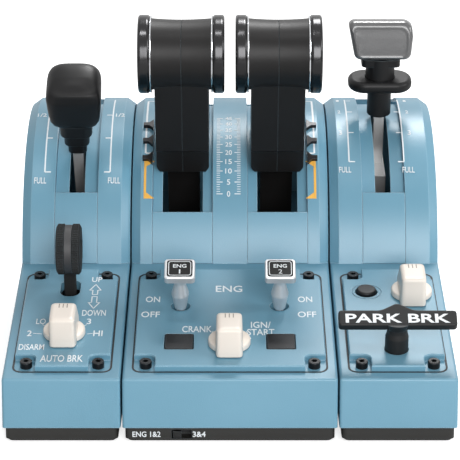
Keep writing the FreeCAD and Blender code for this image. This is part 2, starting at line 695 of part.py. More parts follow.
# ---- knobs, buttons and switches on the panels -----------------------------------------------------------
def make_knob(spot, module):
    """Pointer knob: disc, bar with a sloping back, and shaft."""
    base = PLATE_RISE + KNOB_LIFT
    edge = KNOB_DISC_H / 3
    rim = [(KNOB_DISC_R, 0), (KNOB_DISC_R, KNOB_DISC_H - edge), (KNOB_DISC_R - edge, KNOB_DISC_H)]
    disc = turned([(0, 0), *rim, (0, KNOB_DISC_H)], V(0, 0, base), Z_AXIS)
    half = KNOB_HALF_LENGTH
    side = [
        (-half, base, 0.5),
        (-half + 1.0, base + KNOB_HEIGHT, 1.6),
        (KNOB_TOP_BACK, base + KNOB_HEIGHT, 3.0),
        (half, base + KNOB_DISC_H, 1.0),
        (half, base, 0.5),
    ]
    wide = KNOB_BAR_WIDTH / 2
    narrow = wide - KNOB_TAPER
    front = [(-wide, base - 1, 0), (-narrow, base + KNOB_HEIGHT, 1.8), (narrow, base + KNOB_HEIGHT, 1.8),
             (wide, base - 1, 0)]
    bar = side_prism(side, -wide, wide).common(front_prism(front, -half, half))
    shaft = rod_z(KNOB_SHAFT_R, 0, 0, -12, base + 1)
    knob = disc.fuse([bar, shaft]).removeSplitter()
    knob.translate(V(spot[0], spot[1], 0))
    return on_panel(knob, module)


def make_encoder(spot, module):
    """Body and bush under a knob, from the plate's underside to the board."""
    body = box(-7, 7, -7, 7, -BOARD_DEPTH, -6)
    bush = rod_z(5, 0, 0, -6, -PLATE_SEAT)
    bore = rod_z(KNOB_SHAFT_R + RUNNING_GAP, 0, 0, -13, 1)
    encoder = body.fuse(bush).cut(bore)
    encoder.translate(V(spot[0], spot[1], 0))
    return on_panel(encoder, module)


def make_encoders():
    park = box(-9, 9, -9, 9, -BOARD_DEPTH, -8).cut(rod_z(KNOB_SHAFT_R + RUNNING_GAP, 0, 0, -13, 1))
    park.translate(V(0, PARK_U, 0))
    return [
        make_encoder(AUTOBRAKE_AT, "left"),
        make_encoder(MODE_AT, "centre"),
        make_encoder(TRIM_AT, "right"),
        on_panel(park, "right"),
    ]


BALL_R = 4.0
NECK_R = 2.3


def toggle_place(shape, spot):
    """Tip a toggle part that is drawn upright about its pivot towards the user and set it in the panel."""
    placed = shape.copy()
    placed.rotate(V(0, 0, 0), X_AXIS, TOGGLE_LEAN)
    placed.translate(V(spot[0], spot[1], -TOGGLE_PIVOT_DEPTH))
    return on_panel(placed, "centre")


def make_toggle_stem(spot):
    root = TOGGLE_PIVOT_DEPTH + PLATE_RISE
    cap_base = root + TOGGLE_REACH - TOGGLE_CAP_THICK / 2
    bulb = cap_base - root
    profile = [(0, 0), (NECK_R, 0), (NECK_R, root + bulb * 0.04), (TOGGLE_BULB_R * 0.7, root + bulb * 0.08),
               (TOGGLE_BULB_R, root + bulb * 0.44), (TOGGLE_BULB_R, root + bulb * 0.48),
               (TOGGLE_TOP_R, root + bulb * 0.76), (TOGGLE_TOP_R, cap_base + 1), (0, cap_base + 1)]
    stem = turned(profile, V(0, 0, 0), Z_AXIS).fuse(Part.makeSphere(BALL_R))
    return toggle_place(stem.removeSplitter(), spot)


def make_toggle_cap(spot):
    base = TOGGLE_PIVOT_DEPTH + PLATE_RISE + TOGGLE_REACH - TOGGLE_CAP_THICK / 2
    cap = plan_block(0, 0, TOGGLE_CAP, TOGGLE_CAP * 0.92, 2.2, base, base + TOGGLE_CAP_THICK)
    cap = cap.makeChamfer(0.5, [e for e in cap.Edges if e.BoundBox.ZMin > base + TOGGLE_CAP_THICK - 0.01])
    socket = rod_z(TOGGLE_TOP_R + RUNNING_GAP, 0, 0, base - 1, base + 1 + RUNNING_GAP)
    return toggle_place(cap.cut(socket), spot)


def make_switch_bodies():
    bodies = []
    for sx, su in TOGGLE_SPOTS:
        body = box(-7, 7, -10, 10, -BOARD_DEPTH, -PLATE_SEAT)
        throat = box(-BALL_R, BALL_R, -8.5, 8.5, -TOGGLE_PIVOT_DEPTH + 1.2, 1)
        cup = Part.makeSphere(BALL_R + RUNNING_GAP)
        cup.translate(V(0, 0, -TOGGLE_PIVOT_DEPTH))
        mouth = rod_z(BALL_R + RUNNING_GAP, 0, 0, -TOGGLE_PIVOT_DEPTH, 1)
        body = body.cut([throat, cup, mouth])
        body.translate(V(sx, su, 0))
        bodies.append(on_panel(body, "centre"))
    presses = [(spot, "centre") for spot in TILE_SPOTS] + [(ROUND_AT, "right")]
    for (sx, su), module in presses:
        body = box(-6, 6, -6, 6, -BOARD_DEPTH, -7)
        body = body.cut(rod_z(PLUNGER_R + RUNNING_GAP, 0, 0, -PLUNGER_LENGTH - 2 * BUTTON_TRAVEL, 1))
        body.translate(V(sx, su, 0))
        bodies.append(on_panel(body, module))
    return bodies


def make_tile_button(spot):
    tile = plan_block(0, 0, *TILE_SIZE, 1.0, -PLATE_SEAT, PLATE_RISE + TILE_PROUD)
    tile = tile.makeChamfer(0.4, [e for e in tile.Edges if e.BoundBox.ZMin > PLATE_RISE])
    button = tile.fuse(rod_z(PLUNGER_R, 0, 0, -PLUNGER_LENGTH, -PLATE_SEAT))
    button.translate(V(spot[0], spot[1], 0))
    return on_panel(button, "centre")


def make_round_button():
    profile = [(0, 0), (ROUND_R, 0), (ROUND_R, PLATE_RISE + ROUND_PROUD - 0.8),
               (ROUND_R - 0.8, PLATE_RISE + ROUND_PROUD), (0, PLATE_RISE + ROUND_PROUD)]
    cap = turned(profile, V(0, 0, 0), Z_AXIS).fuse(rod_z(PLUNGER_R, 0, 0, -PLUNGER_LENGTH, 0.5))
    cap.translate(V(ROUND_AT[0], ROUND_AT[1], 0))
    return on_panel(cap, "right")


def make_park_stem():
    """Turned stem that waists in a little and flares out under the bar, on a thinner shaft."""
    top = PLATE_RISE + PARK_REACH
    waist = PARK_STEM_R * 0.88
    flare = PARK_STEM_R * 1.25
    foot = -2 * PLATE_SEAT
    profile = [(0, foot), (PARK_STEM_R, foot), (PARK_STEM_R, top * 0.55), (waist, top * 0.68),
               (waist, top * 0.78), (flare, top), (0, top)]
    stem = turned(profile, V(0, 0, 0), Z_AXIS)
    shaft = rod_z(KNOB_SHAFT_R, 0, 0, -BOARD_DEPTH * 2 / 3, 0)
    stem = stem.fuse(shaft)
    stem.translate(V(0, PARK_U, 0))
    bar = park_bar_blank(RUNNING_GAP / 2)
    above = bar.copy()
    above.translate(V(0, 0, PARK_THICK))
    return on_panel(stem.cut([bar, above]).Solids[0], "right")


def park_bar_blank(grow):
    """Bar with a low peak in the middle of its far edge, leaning back on the stem, drawn on the panel."""
    half = PARK_WIDTH / 2 + grow
    front = -PARK_DEPTH / 2 - grow
    back = PARK_DEPTH / 2 + grow
    foot = PARK_PEAK_FOOT
    tip = foot / 8
    peak = back + PARK_PEAK
    outline = [(-half, front, 2), (half, front, 2), (half, back, 2), (foot, back, foot), (tip, peak, tip),
               (-tip, peak, tip), (-foot, back, foot), (-half, back, 2)]
    bar = plan_prism(outline, -PARK_THICK / 2 - grow, PARK_THICK / 2 + grow)
    bar.rotate(V(0, 0, 0), X_AXIS, PARK_FACE_LEAN)
    bar.translate(V(0, PARK_U, PLATE_RISE + PARK_REACH))
    return bar


def make_park_handle():
    return on_panel(park_bar_blank(0), "right")


def make_gear_stem():
    pivot_n = -GEAR_PIVOT_DEPTH
    top = PLATE_RISE + GEAR_WHEEL_ABOVE
    wide, deep = GEAR_STEM
    hub = rod_x(5, -5, 5, 0, pivot_n)
    post = plan_block(0, 0, wide, deep, 1.2, pivot_n, top)
    bore = rod_x(2 + RUNNING_GAP, -10, 10, 0, pivot_n)
    axle = rod_x(3, -GEAR_WHEEL_WIDTH / 2 + 1, GEAR_WHEEL_WIDTH / 2 - 1, 0, top)
    stem = hub.fuse([post, axle]).cut(bore).removeSplitter()
    stem.translate(V(GEAR_AT[0], GEAR_AT[1], 0))
    return on_panel(stem, "left")


def make_gear_wheel():
    top = PLATE_RISE + GEAR_WHEEL_ABOVE
    half = GEAR_WHEEL_WIDTH / 2
    edge = GEAR_WHEEL_R * 0.08
    band = GEAR_WHEEL_WIDTH * 0.15
    low = GEAR_WHEEL_R * 0.96
    high = GEAR_WHEEL_R
    lower = [(0, -half), (high - edge, -half), (high, edge - half), (high, -band * 1.2), (low, -band)]
    tread = lower + [(r, -h) for r, h in reversed(lower)]
    wheel = turned(tread, V(0, 0, top), X_AXIS)
    wheel = wheel.cut(rod_x(3 + RUNNING_GAP, -half + 1 - RUNNING_GAP, half - 1 + RUNNING_GAP, 0, top))
    wide, deep = GEAR_STEM
    gap = RUNNING_GAP
    wheel = wheel.cut(plan_block(0, 0, wide + 2 * gap, deep + 2 * gap, 1.2, top - BIG / 10, top + gap))
    wheel.translate(V(GEAR_AT[0], GEAR_AT[1], 0))
    return on_panel(wheel, "left")


def make_gear_pivot():
    pivot_n = -GEAR_PIVOT_DEPTH
    pieces = []
    for side in (-1, 1):
        cheek = box(*sorted((side * 5.4, side * 8.4)), -8, 8, -BOARD_DEPTH - 3, -PLATE_SEAT)
        pieces.append(cheek.cut(rod_x(2 + RUNNING_GAP, -10, 10, 0, pivot_n)))
    pieces.append(rod_x(2, -9, 9, 0, pivot_n))
    for piece in pieces:
        piece.translate(V(GEAR_AT[0], GEAR_AT[1], 0))
    return [on_panel(piece, "left") for piece in pieces]


def make_boards():
    boards = []
    for module, (x, width) in MODULES.items():
        board_width = width - 2 * PLATE_MARGIN - 2 * SEAT_EDGE
        board = plan_block(0, PLATE_MIDDLE, board_width, PLATE_LENGTH - 4 * SCREW_END, 2,
                           -BOARD_DEPTH - BOARD_THICK, -BOARD_DEPTH)
        if module == "left":
            board = board.cut(plan_block(*GEAR_AT, 20, 24, 1, -BIG / 10, 0))
        boards.append(on_panel(board, module))
    return boards


# ---- slide switch in the front of the centre tray --------------------------------------------------------
SLIDER_NUB = (4.6, 3.8)
SLIDER_PROUD = 0.6


def make_slider():
    middle_z = FOOT_HEIGHT + TRAY_HEIGHT / 2
    long, high = SLIDER_NUB
    start = SLIDER_X - SLIDER_TRAVEL / 2
    tray_front = FRONT_Y + TRAY_INSET
    nub = box(start - long / 2, start + long / 2, tray_front - SLIDER_PROUD, tray_front + 6,
              middle_z - high / 2, middle_z + high / 2)
    return nub


def make_slider_body():
    middle_z = FOOT_HEIGHT + TRAY_HEIGHT / 2
    long, high = SLIDER_WINDOW
    back = FRONT_Y + TRAY_INSET + WALL
    body = box(SLIDER_X - long, SLIDER_X + long, back + 2, back + 9, TRAY_TOP_OF_FLOOR, middle_z + high)
    reach = (SLIDER_NUB[0] + SLIDER_TRAVEL) / 2 + BUTTON_GAP
    body = body.cut(box(SLIDER_X - reach, SLIDER_X + reach, 0 + back, back + 5,
                        middle_z - SLIDER_NUB[1] / 2 - BUTTON_GAP, middle_z + SLIDER_NUB[1] / 2 + BUTTON_GAP))
    return body


# ---- lever frames, shafts, spacers and sensors ----------------------------------------------------------
FRAME_BASE = 2.0
THRUST_HUB_R = 11.0
THRUST_HUB_HALF = 11.0
SIDE_HUB_R = 9.0
SIDE_HUB_HALF = 6.0
SPACER_R = 6.5
SENSOR_GAP = 1.0


def make_frames():
    frames = []
    for x, width in MODULES.values():
        inner = shaft_support_x(width)
        outer = inner + UPRIGHT
        y0 = PIVOT_Y - UPRIGHT_DEPTH / 2
        y1 = PIVOT_Y + UPRIGHT_DEPTH / 2
        frame = box(x - outer, x + outer, y0, y1, TRAY_TOP_OF_FLOOR, TRAY_TOP_OF_FLOOR + FRAME_BASE)
        profile = [(y0, TRAY_TOP_OF_FLOOR, 0), (y0, PIVOT_Z - 8, 5), (PIVOT_Y - 8, PIVOT_Z + 9, 5),
                   (PIVOT_Y + 8, PIVOT_Z + 9, 5), (y1, PIVOT_Z - 8, 5), (y1, TRAY_TOP_OF_FLOOR, 0)]
        for side in (-1, 1):
            frame = frame.fuse(side_prism(profile, *sorted((x + side * inner, x + side * outer))))
        frame = frame.cut(rod_x(SHAFT_RADIUS + RUNNING_GAP, x - BIG, x + BIG, PIVOT_Y, PIVOT_Z))
        for hx, hy in link_holes():
            frame = frame.cut(rod_z(5, hx, hy, 0, PIVOT_Z / 2))
        for sx in (-1, 1):
            frame = frame.cut(rod_z(FIXING_R + 4, sx * FIXING_X / 2, FIXING_Y / 2, 0, PIVOT_Z / 2))
        frames.append(frame.removeSplitter())
    return frames


def make_shafts():
    shafts = []
    for x, width in MODULES.values():
        reach = shaft_support_x(width) + UPRIGHT + 0.4
        shafts.append(rod_x(SHAFT_RADIUS, x - reach, x + reach, PIVOT_Y, PIVOT_Z))
    return shafts


def make_spacers():
    """Tubes on the shafts that hold each lever's hub in the middle of its slot."""
    spans = []
    inner = shaft_support_x(CENTRE_WIDTH)
    near = LEVER_SPACING - THRUST_HUB_HALF - SIDE_PLAY
    far = LEVER_SPACING + THRUST_HUB_HALF + SIDE_PLAY
    spans += [(-inner, -far), (-near, near), (far, inner)]
    for side in (-1, 1):
        inner = shaft_support_x(SIDE_WIDTH)
        x = side * SIDE_X
        spans += [(x - inner, x - SIDE_HUB_HALF - SIDE_PLAY), (x + SIDE_HUB_HALF + SIDE_PLAY, x + inner)]
    bore = rod_x(SHAFT_RADIUS + RUNNING_GAP, -BIG, BIG, PIVOT_Y, PIVOT_Z)
    return [rod_x(SPACER_R, x0, x1, PIVOT_Y, PIVOT_Z).cut(bore) for x0, x1 in spans]


def make_sensors():
    """Angle sensor board behind each hub, standing on the frame."""
    hubs = [(LEVER_SPACING, THRUST_HUB_R), (SIDE_X, SIDE_HUB_R)]
    places = [(side * x, hub) for side in (-1, 1) for x, hub in hubs]
    base = TRAY_TOP_OF_FLOOR + FRAME_BASE
    return [box(x - 6, x + 6, PIVOT_Y + hub + SENSOR_GAP, PIVOT_Y + hub + SENSOR_GAP + 2, base, PIVOT_Z + 6)
            for x, hub in places]


# ---- rear socket -----------------------------------------------------------------------------------------
SOCKET_Z = 22.0
SOCKET_OUTER = (12.0, 11.0)
SOCKET_INNER = (8.8, 8.0)
SOCKET_LENGTH = 16.0
SOCKET_DEPTH = 9.5


def socket_box(size, y0, y1, grow):
    half_w, half_h = [side / 2 + grow for side in size]
    return box(-half_w, half_w, y0, y1, SOCKET_Z - half_h, SOCKET_Z + half_h)


def socket_window():
    return socket_box(SOCKET_OUTER, REAR_Y - WALL - 1, REAR_Y + 1, FIT_GAP / 2)


def make_socket():
    front = REAR_Y - SOCKET_LENGTH
    shell = socket_box(SOCKET_OUTER, front, REAR_Y, 0)
    hollow = socket_box(SOCKET_INNER, REAR_Y - SOCKET_DEPTH, REAR_Y + 1, 0)
    board = box(-14, 14, front - 6, REAR_Y - WALL - 0.5, SOCKET_Z - SOCKET_OUTER[1] / 2 - BOARD_THICK,
                SOCKET_Z - SOCKET_OUTER[1] / 2)
    post_top = SOCKET_Z - SOCKET_OUTER[1] / 2 - BOARD_THICK
    posts = [rod_z(2.5, side * 10, front, TRAY_TOP_OF_FLOOR, post_top) for side in (-1, 1)]
    return shell.cut(hollow).fuse([board] + posts).removeSplitter()


# ---- thrust levers ---------------------------------------------------------------------------------------
def make_thrust_arm(side):
    hub = rod_x(THRUST_HUB_R, -THRUST_HUB_HALF, THRUST_HUB_HALF)
    post = box(-ARM_WIDTH / 2, ARM_WIDTH / 2, -ARM_DEPTH / 2, ARM_DEPTH / 2, 0, ARM_TOP)
    inside = ARM_DEPTH / 2 - ARM_WALL
    for way in (-1, 1):
        across = sorted((way * ARM_WALL, way * BIG))
        post = post.cut(box(*across, -inside, inside, THRUST_HUB_R + 5, CENTRE_CHANNEL_R - 8))
    arm = hub.fuse(post).cut(rod_x(SHAFT_RADIUS + RUNNING_GAP, -BIG, BIG))
    return on_pivot(arm.removeSplitter(), THRUST_ANGLE, side * LEVER_SPACING)


def thrust_body():
    """Block and grip in one outline, before it is split down its middle."""
    shoe_r = CENTRE_CHANNEL_R + SHOE_CLEARANCE
    low = BLOCK_HALF_DEPTH - SHOE_UNDERCUT
    deep = BLOCK_HALF_DEPTH
    top = BLOCK_TOP_HALF_DEPTH
    base = shoe_r * math.cos(math.asin(deep / shoe_r)) - 2
    step = BLOCK_SHOULDER - 2
    head = GRIP_AT - 6
    profile = [(-low, base, 0), (-low, step, 0), (-deep, BLOCK_SHOULDER, 1), (-top, head, 0), (top, head, 0),
               (deep, BLOCK_SHOULDER, 1), (low, step, 0), (low, base, 0)]
    half = BLOCK_WIDTH / 2
    block = side_prism(profile, -half, half)
    corners = [(-half, base, 8), (-half, GRIP_AT, 0), (half, GRIP_AT, 0), (half, base, 8)]
    block = block.common(front_prism(corners, -BIG, BIG)).cut(rod_x(shoe_r, -BIG, BIG))
    end = GRIP_WIDTH / 2 - RING_WIDTH
    waist = Part.Arc(V(-end, 0, GRIP_R), V(0, 0, GRIP_WAIST_R), V(end, 0, GRIP_R)).toShape()
    rest = [V(end, 0, GRIP_R), V(end, 0, 0), V(-end, 0, 0), V(-end, 0, GRIP_R)]
    section = Part.Wire([waist] + [Part.makeLine(a, b) for a, b in zip(rest, rest[1:])])
    grip = Part.Face(section).revolve(V(0, 0, 0), X_AXIS, 360)
    grip = Part.makeCompound([grip]).Solids[0]
    grip.translate(V(0, 0, GRIP_AT))
    hollow = rod_x(GRIP_WAIST_R - GRIP_WALL, -BIG, BIG, 0, GRIP_AT)
    wide = ARM_WIDTH / 2 + RUNNING_GAP
    thick = ARM_DEPTH / 2 + RUNNING_GAP
    pocket = box(-wide, wide, -thick, thick, 0, ARM_TOP + RUNNING_GAP)
    return block.fuse(grip).cut([hollow, pocket])


def make_thrust_half(side, outer):
    """The half of the body on the lever's outer or inner side."""
    way = side if outer else -side
    keep = box(*sorted((way * HALF_GAP / 2, way * BIG)), -BIG, BIG, -BIG, BIG)
    half = thrust_body().common(keep).removeSplitter()
    return on_pivot(half, THRUST_ANGLE, side * LEVER_SPACING)


def make_grip_rings(side):
    """Polished end rings with closing discs; the outer disc has the disconnect button's hole."""
    rings = []
    for way in (-1, 1):
        start = GRIP_WIDTH / 2 - RING_WIDTH
        spigot = GRIP_WAIST_R - GRIP_WALL - 0.1
        face = start + RING_WIDTH
        ring_profile = [(0, start + 2, 0), (spigot - 2, start + 2, 0), (spigot - 2, start - 3, 0),
                        (spigot, start - 3, 0), (spigot, start, 0), (RING_R, start, RING_ROUND),
                        (RING_R, face, RING_ROUND), (RING_R - 4.5, face, 1),
                        (RING_R - 5.5, face - DISC_SUNK, 0), (0, face - DISC_SUNK, 0)]
        wire = rounded_wire([(V(x, 0, r), corner) for r, x, corner in ring_profile])
        ring = Part.makeCompound([Part.Face(wire).revolve(V(0, 0, 0), X_AXIS, 360)]).Solids[0]
        if way == side:
            ring = ring.cut(rod_x(DISCONNECT_R + 0.2, 0, BIG))
        if way < 0:
            ring = ring.mirror(V(0, 0, 0), X_AXIS)
        ring.translate(V(0, 0, GRIP_AT))
        rings.append(on_pivot(ring, THRUST_ANGLE, side * LEVER_SPACING))
    return rings


def make_disconnect_button(side):
    face = GRIP_WIDTH / 2 - DISC_SUNK
    button = rod_x(DISCONNECT_R, face - 5, face + DISCONNECT_PROUD)
    flange = rod_x(DISCONNECT_R + 1.2, face - RING_WIDTH + 0.4, face - RING_WIDTH + 2.4)
    stalk = rod_x(3, face - RING_WIDTH + 0.4, face - 5)
    tip = [e for e in button.Edges if e.BoundBox.XMin > face + DISCONNECT_PROUD - 0.01]
    button = button.makeChamfer(0.5, tip)
    button = button.fuse([stalk, flange]).removeSplitter()
    button = button.mirror(V(0, 0, 0), X_AXIS) if side < 0 else button
    button.translate(V(0, 0, GRIP_AT))
    return on_pivot(button, THRUST_ANGLE, side * LEVER_SPACING)


# ---- left lever: wedge knob on a stepped neck and a steel blade -------------------------------------------
def make_blade(width, depth, top):
    hub = rod_x(SIDE_HUB_R, -SIDE_HUB_HALF, SIDE_HUB_HALF)
    profile = [(-depth, 0, 0), (-depth, top, 0), (depth, top, 0), (depth, 0, 0)]
    blade = side_prism(profile, -width / 2, width / 2)
    return hub.fuse(blade).cut(rod_x(SHAFT_RADIUS + RUNNING_GAP, -BIG, BIG)).removeSplitter()


BRAKE_BLADE_HALF = 5.0
BRAKE_BLADE_TOP = BRAKE_KNOB_BASE + BRAKE_TANG


def make_brake_blade():
    return on_pivot(make_blade(BLADE_WIDTH, BRAKE_BLADE_HALF, BRAKE_BLADE_TOP), BRAKE_ANGLE, -SIDE_X)


def blade_pocket(top):
    gap = RUNNING_GAP
    deep = BRAKE_BLADE_HALF + gap
    return box(-BLADE_WIDTH / 2 - gap, BLADE_WIDTH / 2 + gap, -deep, deep, 0, top + gap)


def make_brake_neck():
    """Three rounded steps that widen towards the knob."""
    rise = BRAKE_KNOB_BASE - BRAKE_NECK_BASE
    steps = [(0.34, 0.44, 0.0, 0.30), (0.46, 0.53, 0.30, 0.63), (0.59, 0.62, 0.63, 1.0)]
    blocks = []
    for wide, deep, low, high in steps:
        wide *= BRAKE_KNOB_WIDTH
        deep *= BRAKE_KNOB_WIDTH
        foot = BRAKE_NECK_BASE + rise * low
        blocks.append(plan_block(0, 0, wide, deep, wide / 4, foot, foot + rise * (high - low)))
    neck = blocks[0].fuse(blocks[1:])
    return on_pivot(neck.cut(blade_pocket(BRAKE_BLADE_TOP)).removeSplitter(), BRAKE_ANGLE, -SIDE_X)


def make_brake_knob():
    """Palm knob: an outline from the side, one from the front and one from its end, as shares of its size."""
    def points(shares, across, along):
        return [(a * across, BRAKE_KNOB_BASE + b * along, r * along) for a, b, r in shares]
    half = BRAKE_KNOB_WIDTH / 2
    front = BRAKE_KNOB_FRONT
    back = BRAKE_KNOB_BACK
    tall = BRAKE_KNOB_HEIGHT
    side = points([(-0.82, 0, 0.06), (-1, 0.8, 0.09), (-0.1, 1, 0.5)], front, tall)
    side += points([(0.67, 0.98, 0.2), (1, 0.78, 0.12), (0.62, 0, 0.06)], back, tall)
    left_face = [(-0.6, 0, 0.1), (-0.92, 0.15, 0.2), (-1, 0.8, 0.2), (-0.88, 1, 0.2)]
    face = points(left_face + [(-a, b, r) for a, b, r in reversed(left_face)], half, tall)
    end = [(-half, -front, 5), (half, -front, 5), (half, back, 9), (-half, back, 9)]
    knob = side_prism(side, -half, half).common(front_prism(face, -2 * half, 2 * half))
    knob = knob.common(plan_prism(end, BRAKE_KNOB_BASE, BRAKE_KNOB_BASE + tall))
    return on_pivot(knob.cut(blade_pocket(BRAKE_BLADE_TOP)).removeSplitter(), BRAKE_ANGLE, -SIDE_X)


# ---- right lever: paddle, neck, lift collar, sleeve and steel blade ---------------------------------------
FLAP_BLADE_HALF = 5.0
SLEEVE_R = 7.6
SLEEVE_BASE = DOME_RADIUS - 0.7
SLEEVE_TOP = COLLAR_AT - 4.5
STALK_R = 6.0
STALK_TOP = PADDLE_BASE - 5.1
TANG = 8.0
UPPER_NECK_R = 9.2
NECK_BLOCK = (24.4, 16.1)
COLLAR_THICK = 7.5
COLLAR_FLOOR = 1.6
UPPER_NECK_BASE = COLLAR_AT - COLLAR_THICK / 2 + COLLAR_FLOOR + COLLAR_TRAVEL + BUTTON_GAP
COLLAR_SIZE = (40.5, 25.0)
CARRIAGE = (8.4, 24.0, 9.0)
CARRIAGE_BASE = DOME_RADIUS * 0.3
CARRIAGE_TOP = DOME_RADIUS * 0.66


def make_flap_blade():
    """Steel blade with the carriage that carries the detent spring low down on its user's side."""
    blade = make_blade(BLADE_WIDTH, FLAP_BLADE_HALF, STALK_TOP - TANG)
    wide, front, back = CARRIAGE
    carriage = box(-wide / 2, wide / 2, -front, back, CARRIAGE_BASE, CARRIAGE_TOP)
    return on_pivot(blade.fuse(carriage).removeSplitter(), FLAP_ANGLE, SIDE_X)


def flap_pocket():
    gap = RUNNING_GAP
    deep = FLAP_BLADE_HALF + gap
    return box(-BLADE_WIDTH / 2 - gap, BLADE_WIDTH / 2 + gap, -deep, deep, 0, STALK_TOP - TANG + gap)


def make_flap_sleeve():
    sleeve = rod_z(SLEEVE_R, 0, 0, SLEEVE_BASE, SLEEVE_TOP)
    rims = [e for e in sleeve.Edges if e.Closed and e.BoundBox.ZLength < 0.01]
    sleeve = sleeve.makeFillet(1.0, rims)
    stalk = rod_z(STALK_R, 0, 0, SLEEVE_TOP - 1, STALK_TOP)
    return on_pivot(sleeve.fuse(stalk).cut(flap_pocket()).removeSplitter(), FLAP_ANGLE, SIDE_X)


def make_flap_collar():
    """Oval ring that slides up the stalk, with a well in its top for the end of the neck."""
    wide, deep = COLLAR_SIZE
    low = COLLAR_AT - COLLAR_THICK / 2
    collar = plan_block(0, 0, wide, deep, deep / 2 - 1.5, low, low + COLLAR_THICK)
    rims = [e for e in collar.Edges if e.BoundBox.ZLength < 0.01]
    collar = collar.makeFillet(COLLAR_THICK / 2 - 0.6, rims)
    bore = rod_z(STALK_R + RUNNING_GAP, 0, 0, 0, BIG)
    well = rod_z(UPPER_NECK_R + BUTTON_GAP, 0, 0, low + COLLAR_FLOOR, BIG)
    return on_pivot(collar.cut([bore, well]), FLAP_ANGLE, SIDE_X)


def make_flap_neck():
    """Round neck round the stalk, with the block that the paddle sits on."""
    stalk = rod_z(STALK_R + RUNNING_GAP, 0, 0, 0, STALK_TOP + RUNNING_GAP)
    neck = rod_z(UPPER_NECK_R, 0, 0, UPPER_NECK_BASE, PADDLE_BASE).cut(stalk)
    wide, deep = NECK_BLOCK
    block = plan_block(0, 0, wide, deep, deep / 5, STALK_TOP + RUNNING_GAP, PADDLE_BASE)
    return on_pivot(neck.fuse(block).removeSplitter(), FLAP_ANGLE, SIDE_X)


def make_flap_paddle():
    """Paddle whose left edge slants outwards; its outlines are shares of its height and half depth."""
    base = PADDLE_BASE
    tall = PADDLE_HEIGHT
    deep = PADDLE_HALF_DEPTH
    front = [(-0.78 * PADDLE_LEFT, base, 0.18 * tall), (-PADDLE_LEFT, base + tall, 0.12 * tall),
             (0.96 * PADDLE_RIGHT, base + tall, 0.26 * tall), (PADDLE_RIGHT, base + 0.6 * tall, 0.2 * tall),
             (0.94 * PADDLE_RIGHT, base, 0.2 * tall)]
    shares = [(-0.7, 0, 0.1), (-1, 0.17, 0.1), (-0.4, 1, 0.14), (0.52, 0.96, 0.1), (0.76, 0.33, 0.1),
              (0.62, 0, 0.08)]
    side = [(a * deep, base + b * tall, r * tall) for a, b, r in shares]
    paddle = front_prism(front, -2 * deep, 2 * deep).common(side_prism(side, -PADDLE_LEFT, PADDLE_RIGHT))
    return on_pivot(paddle.removeSplitter(), FLAP_ANGLE, SIDE_X)


# ---- build every sub-part --------------------------------------------------------------------------------
for module_name in MODULES:
    save(module_name + "_shell", make_shell(module_name))
    save(module_name + "_tray", make_tray(module_name))
    save(module_name + "_face_plate", make_face_plate(module_name))
save("side_tracks", [make_track(*place) for place in lever_places("left") + lever_places("right")])
save("centre_tracks", [make_track(*place) for place in lever_places("centre")])
save("detent_tabs", make_detent_tabs())
save("rubber_feet", make_feet())
save("plate_screws", make_plate_screws())
save("base_screws", make_base_screws())
save("link_plates", make_link_plates())
save("link_screws", make_link_screws())
save("lever_frames", make_frames())
save("pivot_shafts", make_shafts())
save("shaft_spacers", make_spacers())
save("lever_sensors", make_sensors())
save("circuit_boards", make_boards())
save("knob_encoders", make_encoders())
save("switch_bodies", make_switch_bodies() + [make_slider_body()])
save("gear_pivot", make_gear_pivot())
save("rear_socket", make_socket())

for side_name, side_sign in (("left", -1), ("right", 1)):
    save(side_name + "_thrust_arm", make_thrust_arm(side_sign))
    save(side_name + "_thrust_outer_half", make_thrust_half(side_sign, True))
    save(side_name + "_thrust_inner_half", make_thrust_half(side_sign, False))
    save(side_name + "_grip_rings", make_grip_rings(side_sign))
    save(side_name + "_disconnect_button", make_disconnect_button(side_sign))

save("speedbrake_blade", make_brake_blade())
save("speedbrake_neck", make_brake_neck())
save("speedbrake_knob", make_brake_knob())
save("flap_blade", make_flap_blade())
save("flap_sleeve", make_flap_sleeve())
save("flap_collar", make_flap_collar())
save("flap_neck", make_flap_neck())
save("flap_paddle", make_flap_paddle())
save("gear_stem", make_gear_stem())
save("gear_wheel", make_gear_wheel())
save("autobrake_knob", make_knob(AUTOBRAKE_AT, "left"))
save("mode_knob", make_knob(MODE_AT, "centre"))
save("trim_knob", make_knob(TRIM_AT, "right"))
for number, toggle_spot in enumerate(TOGGLE_SPOTS, start=1):
    save("engine_%d_switch_stem" % number, make_toggle_stem(toggle_spot))
    save("engine_%d_switch_cap" % number, make_toggle_cap(toggle_spot))
for number, tile_spot in enumerate(TILE_SPOTS, start=1):
    save("engine_%d_tile_button" % number, make_tile_button(tile_spot))
save("round_button", make_round_button())
save("park_brake_stem", make_park_stem())
save("park_brake_handle", make_park_handle())
save("engine_select_slider", make_slider())
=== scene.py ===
"""Throttle quadrant dressed for display: shells, trays, levers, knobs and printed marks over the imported
model. Metres, +X to the right, +Y away from the user, +Z up, origin under the middle of the unit."""
import bmesh
import bpy
import json
import math
from mathutils import Matrix, Vector

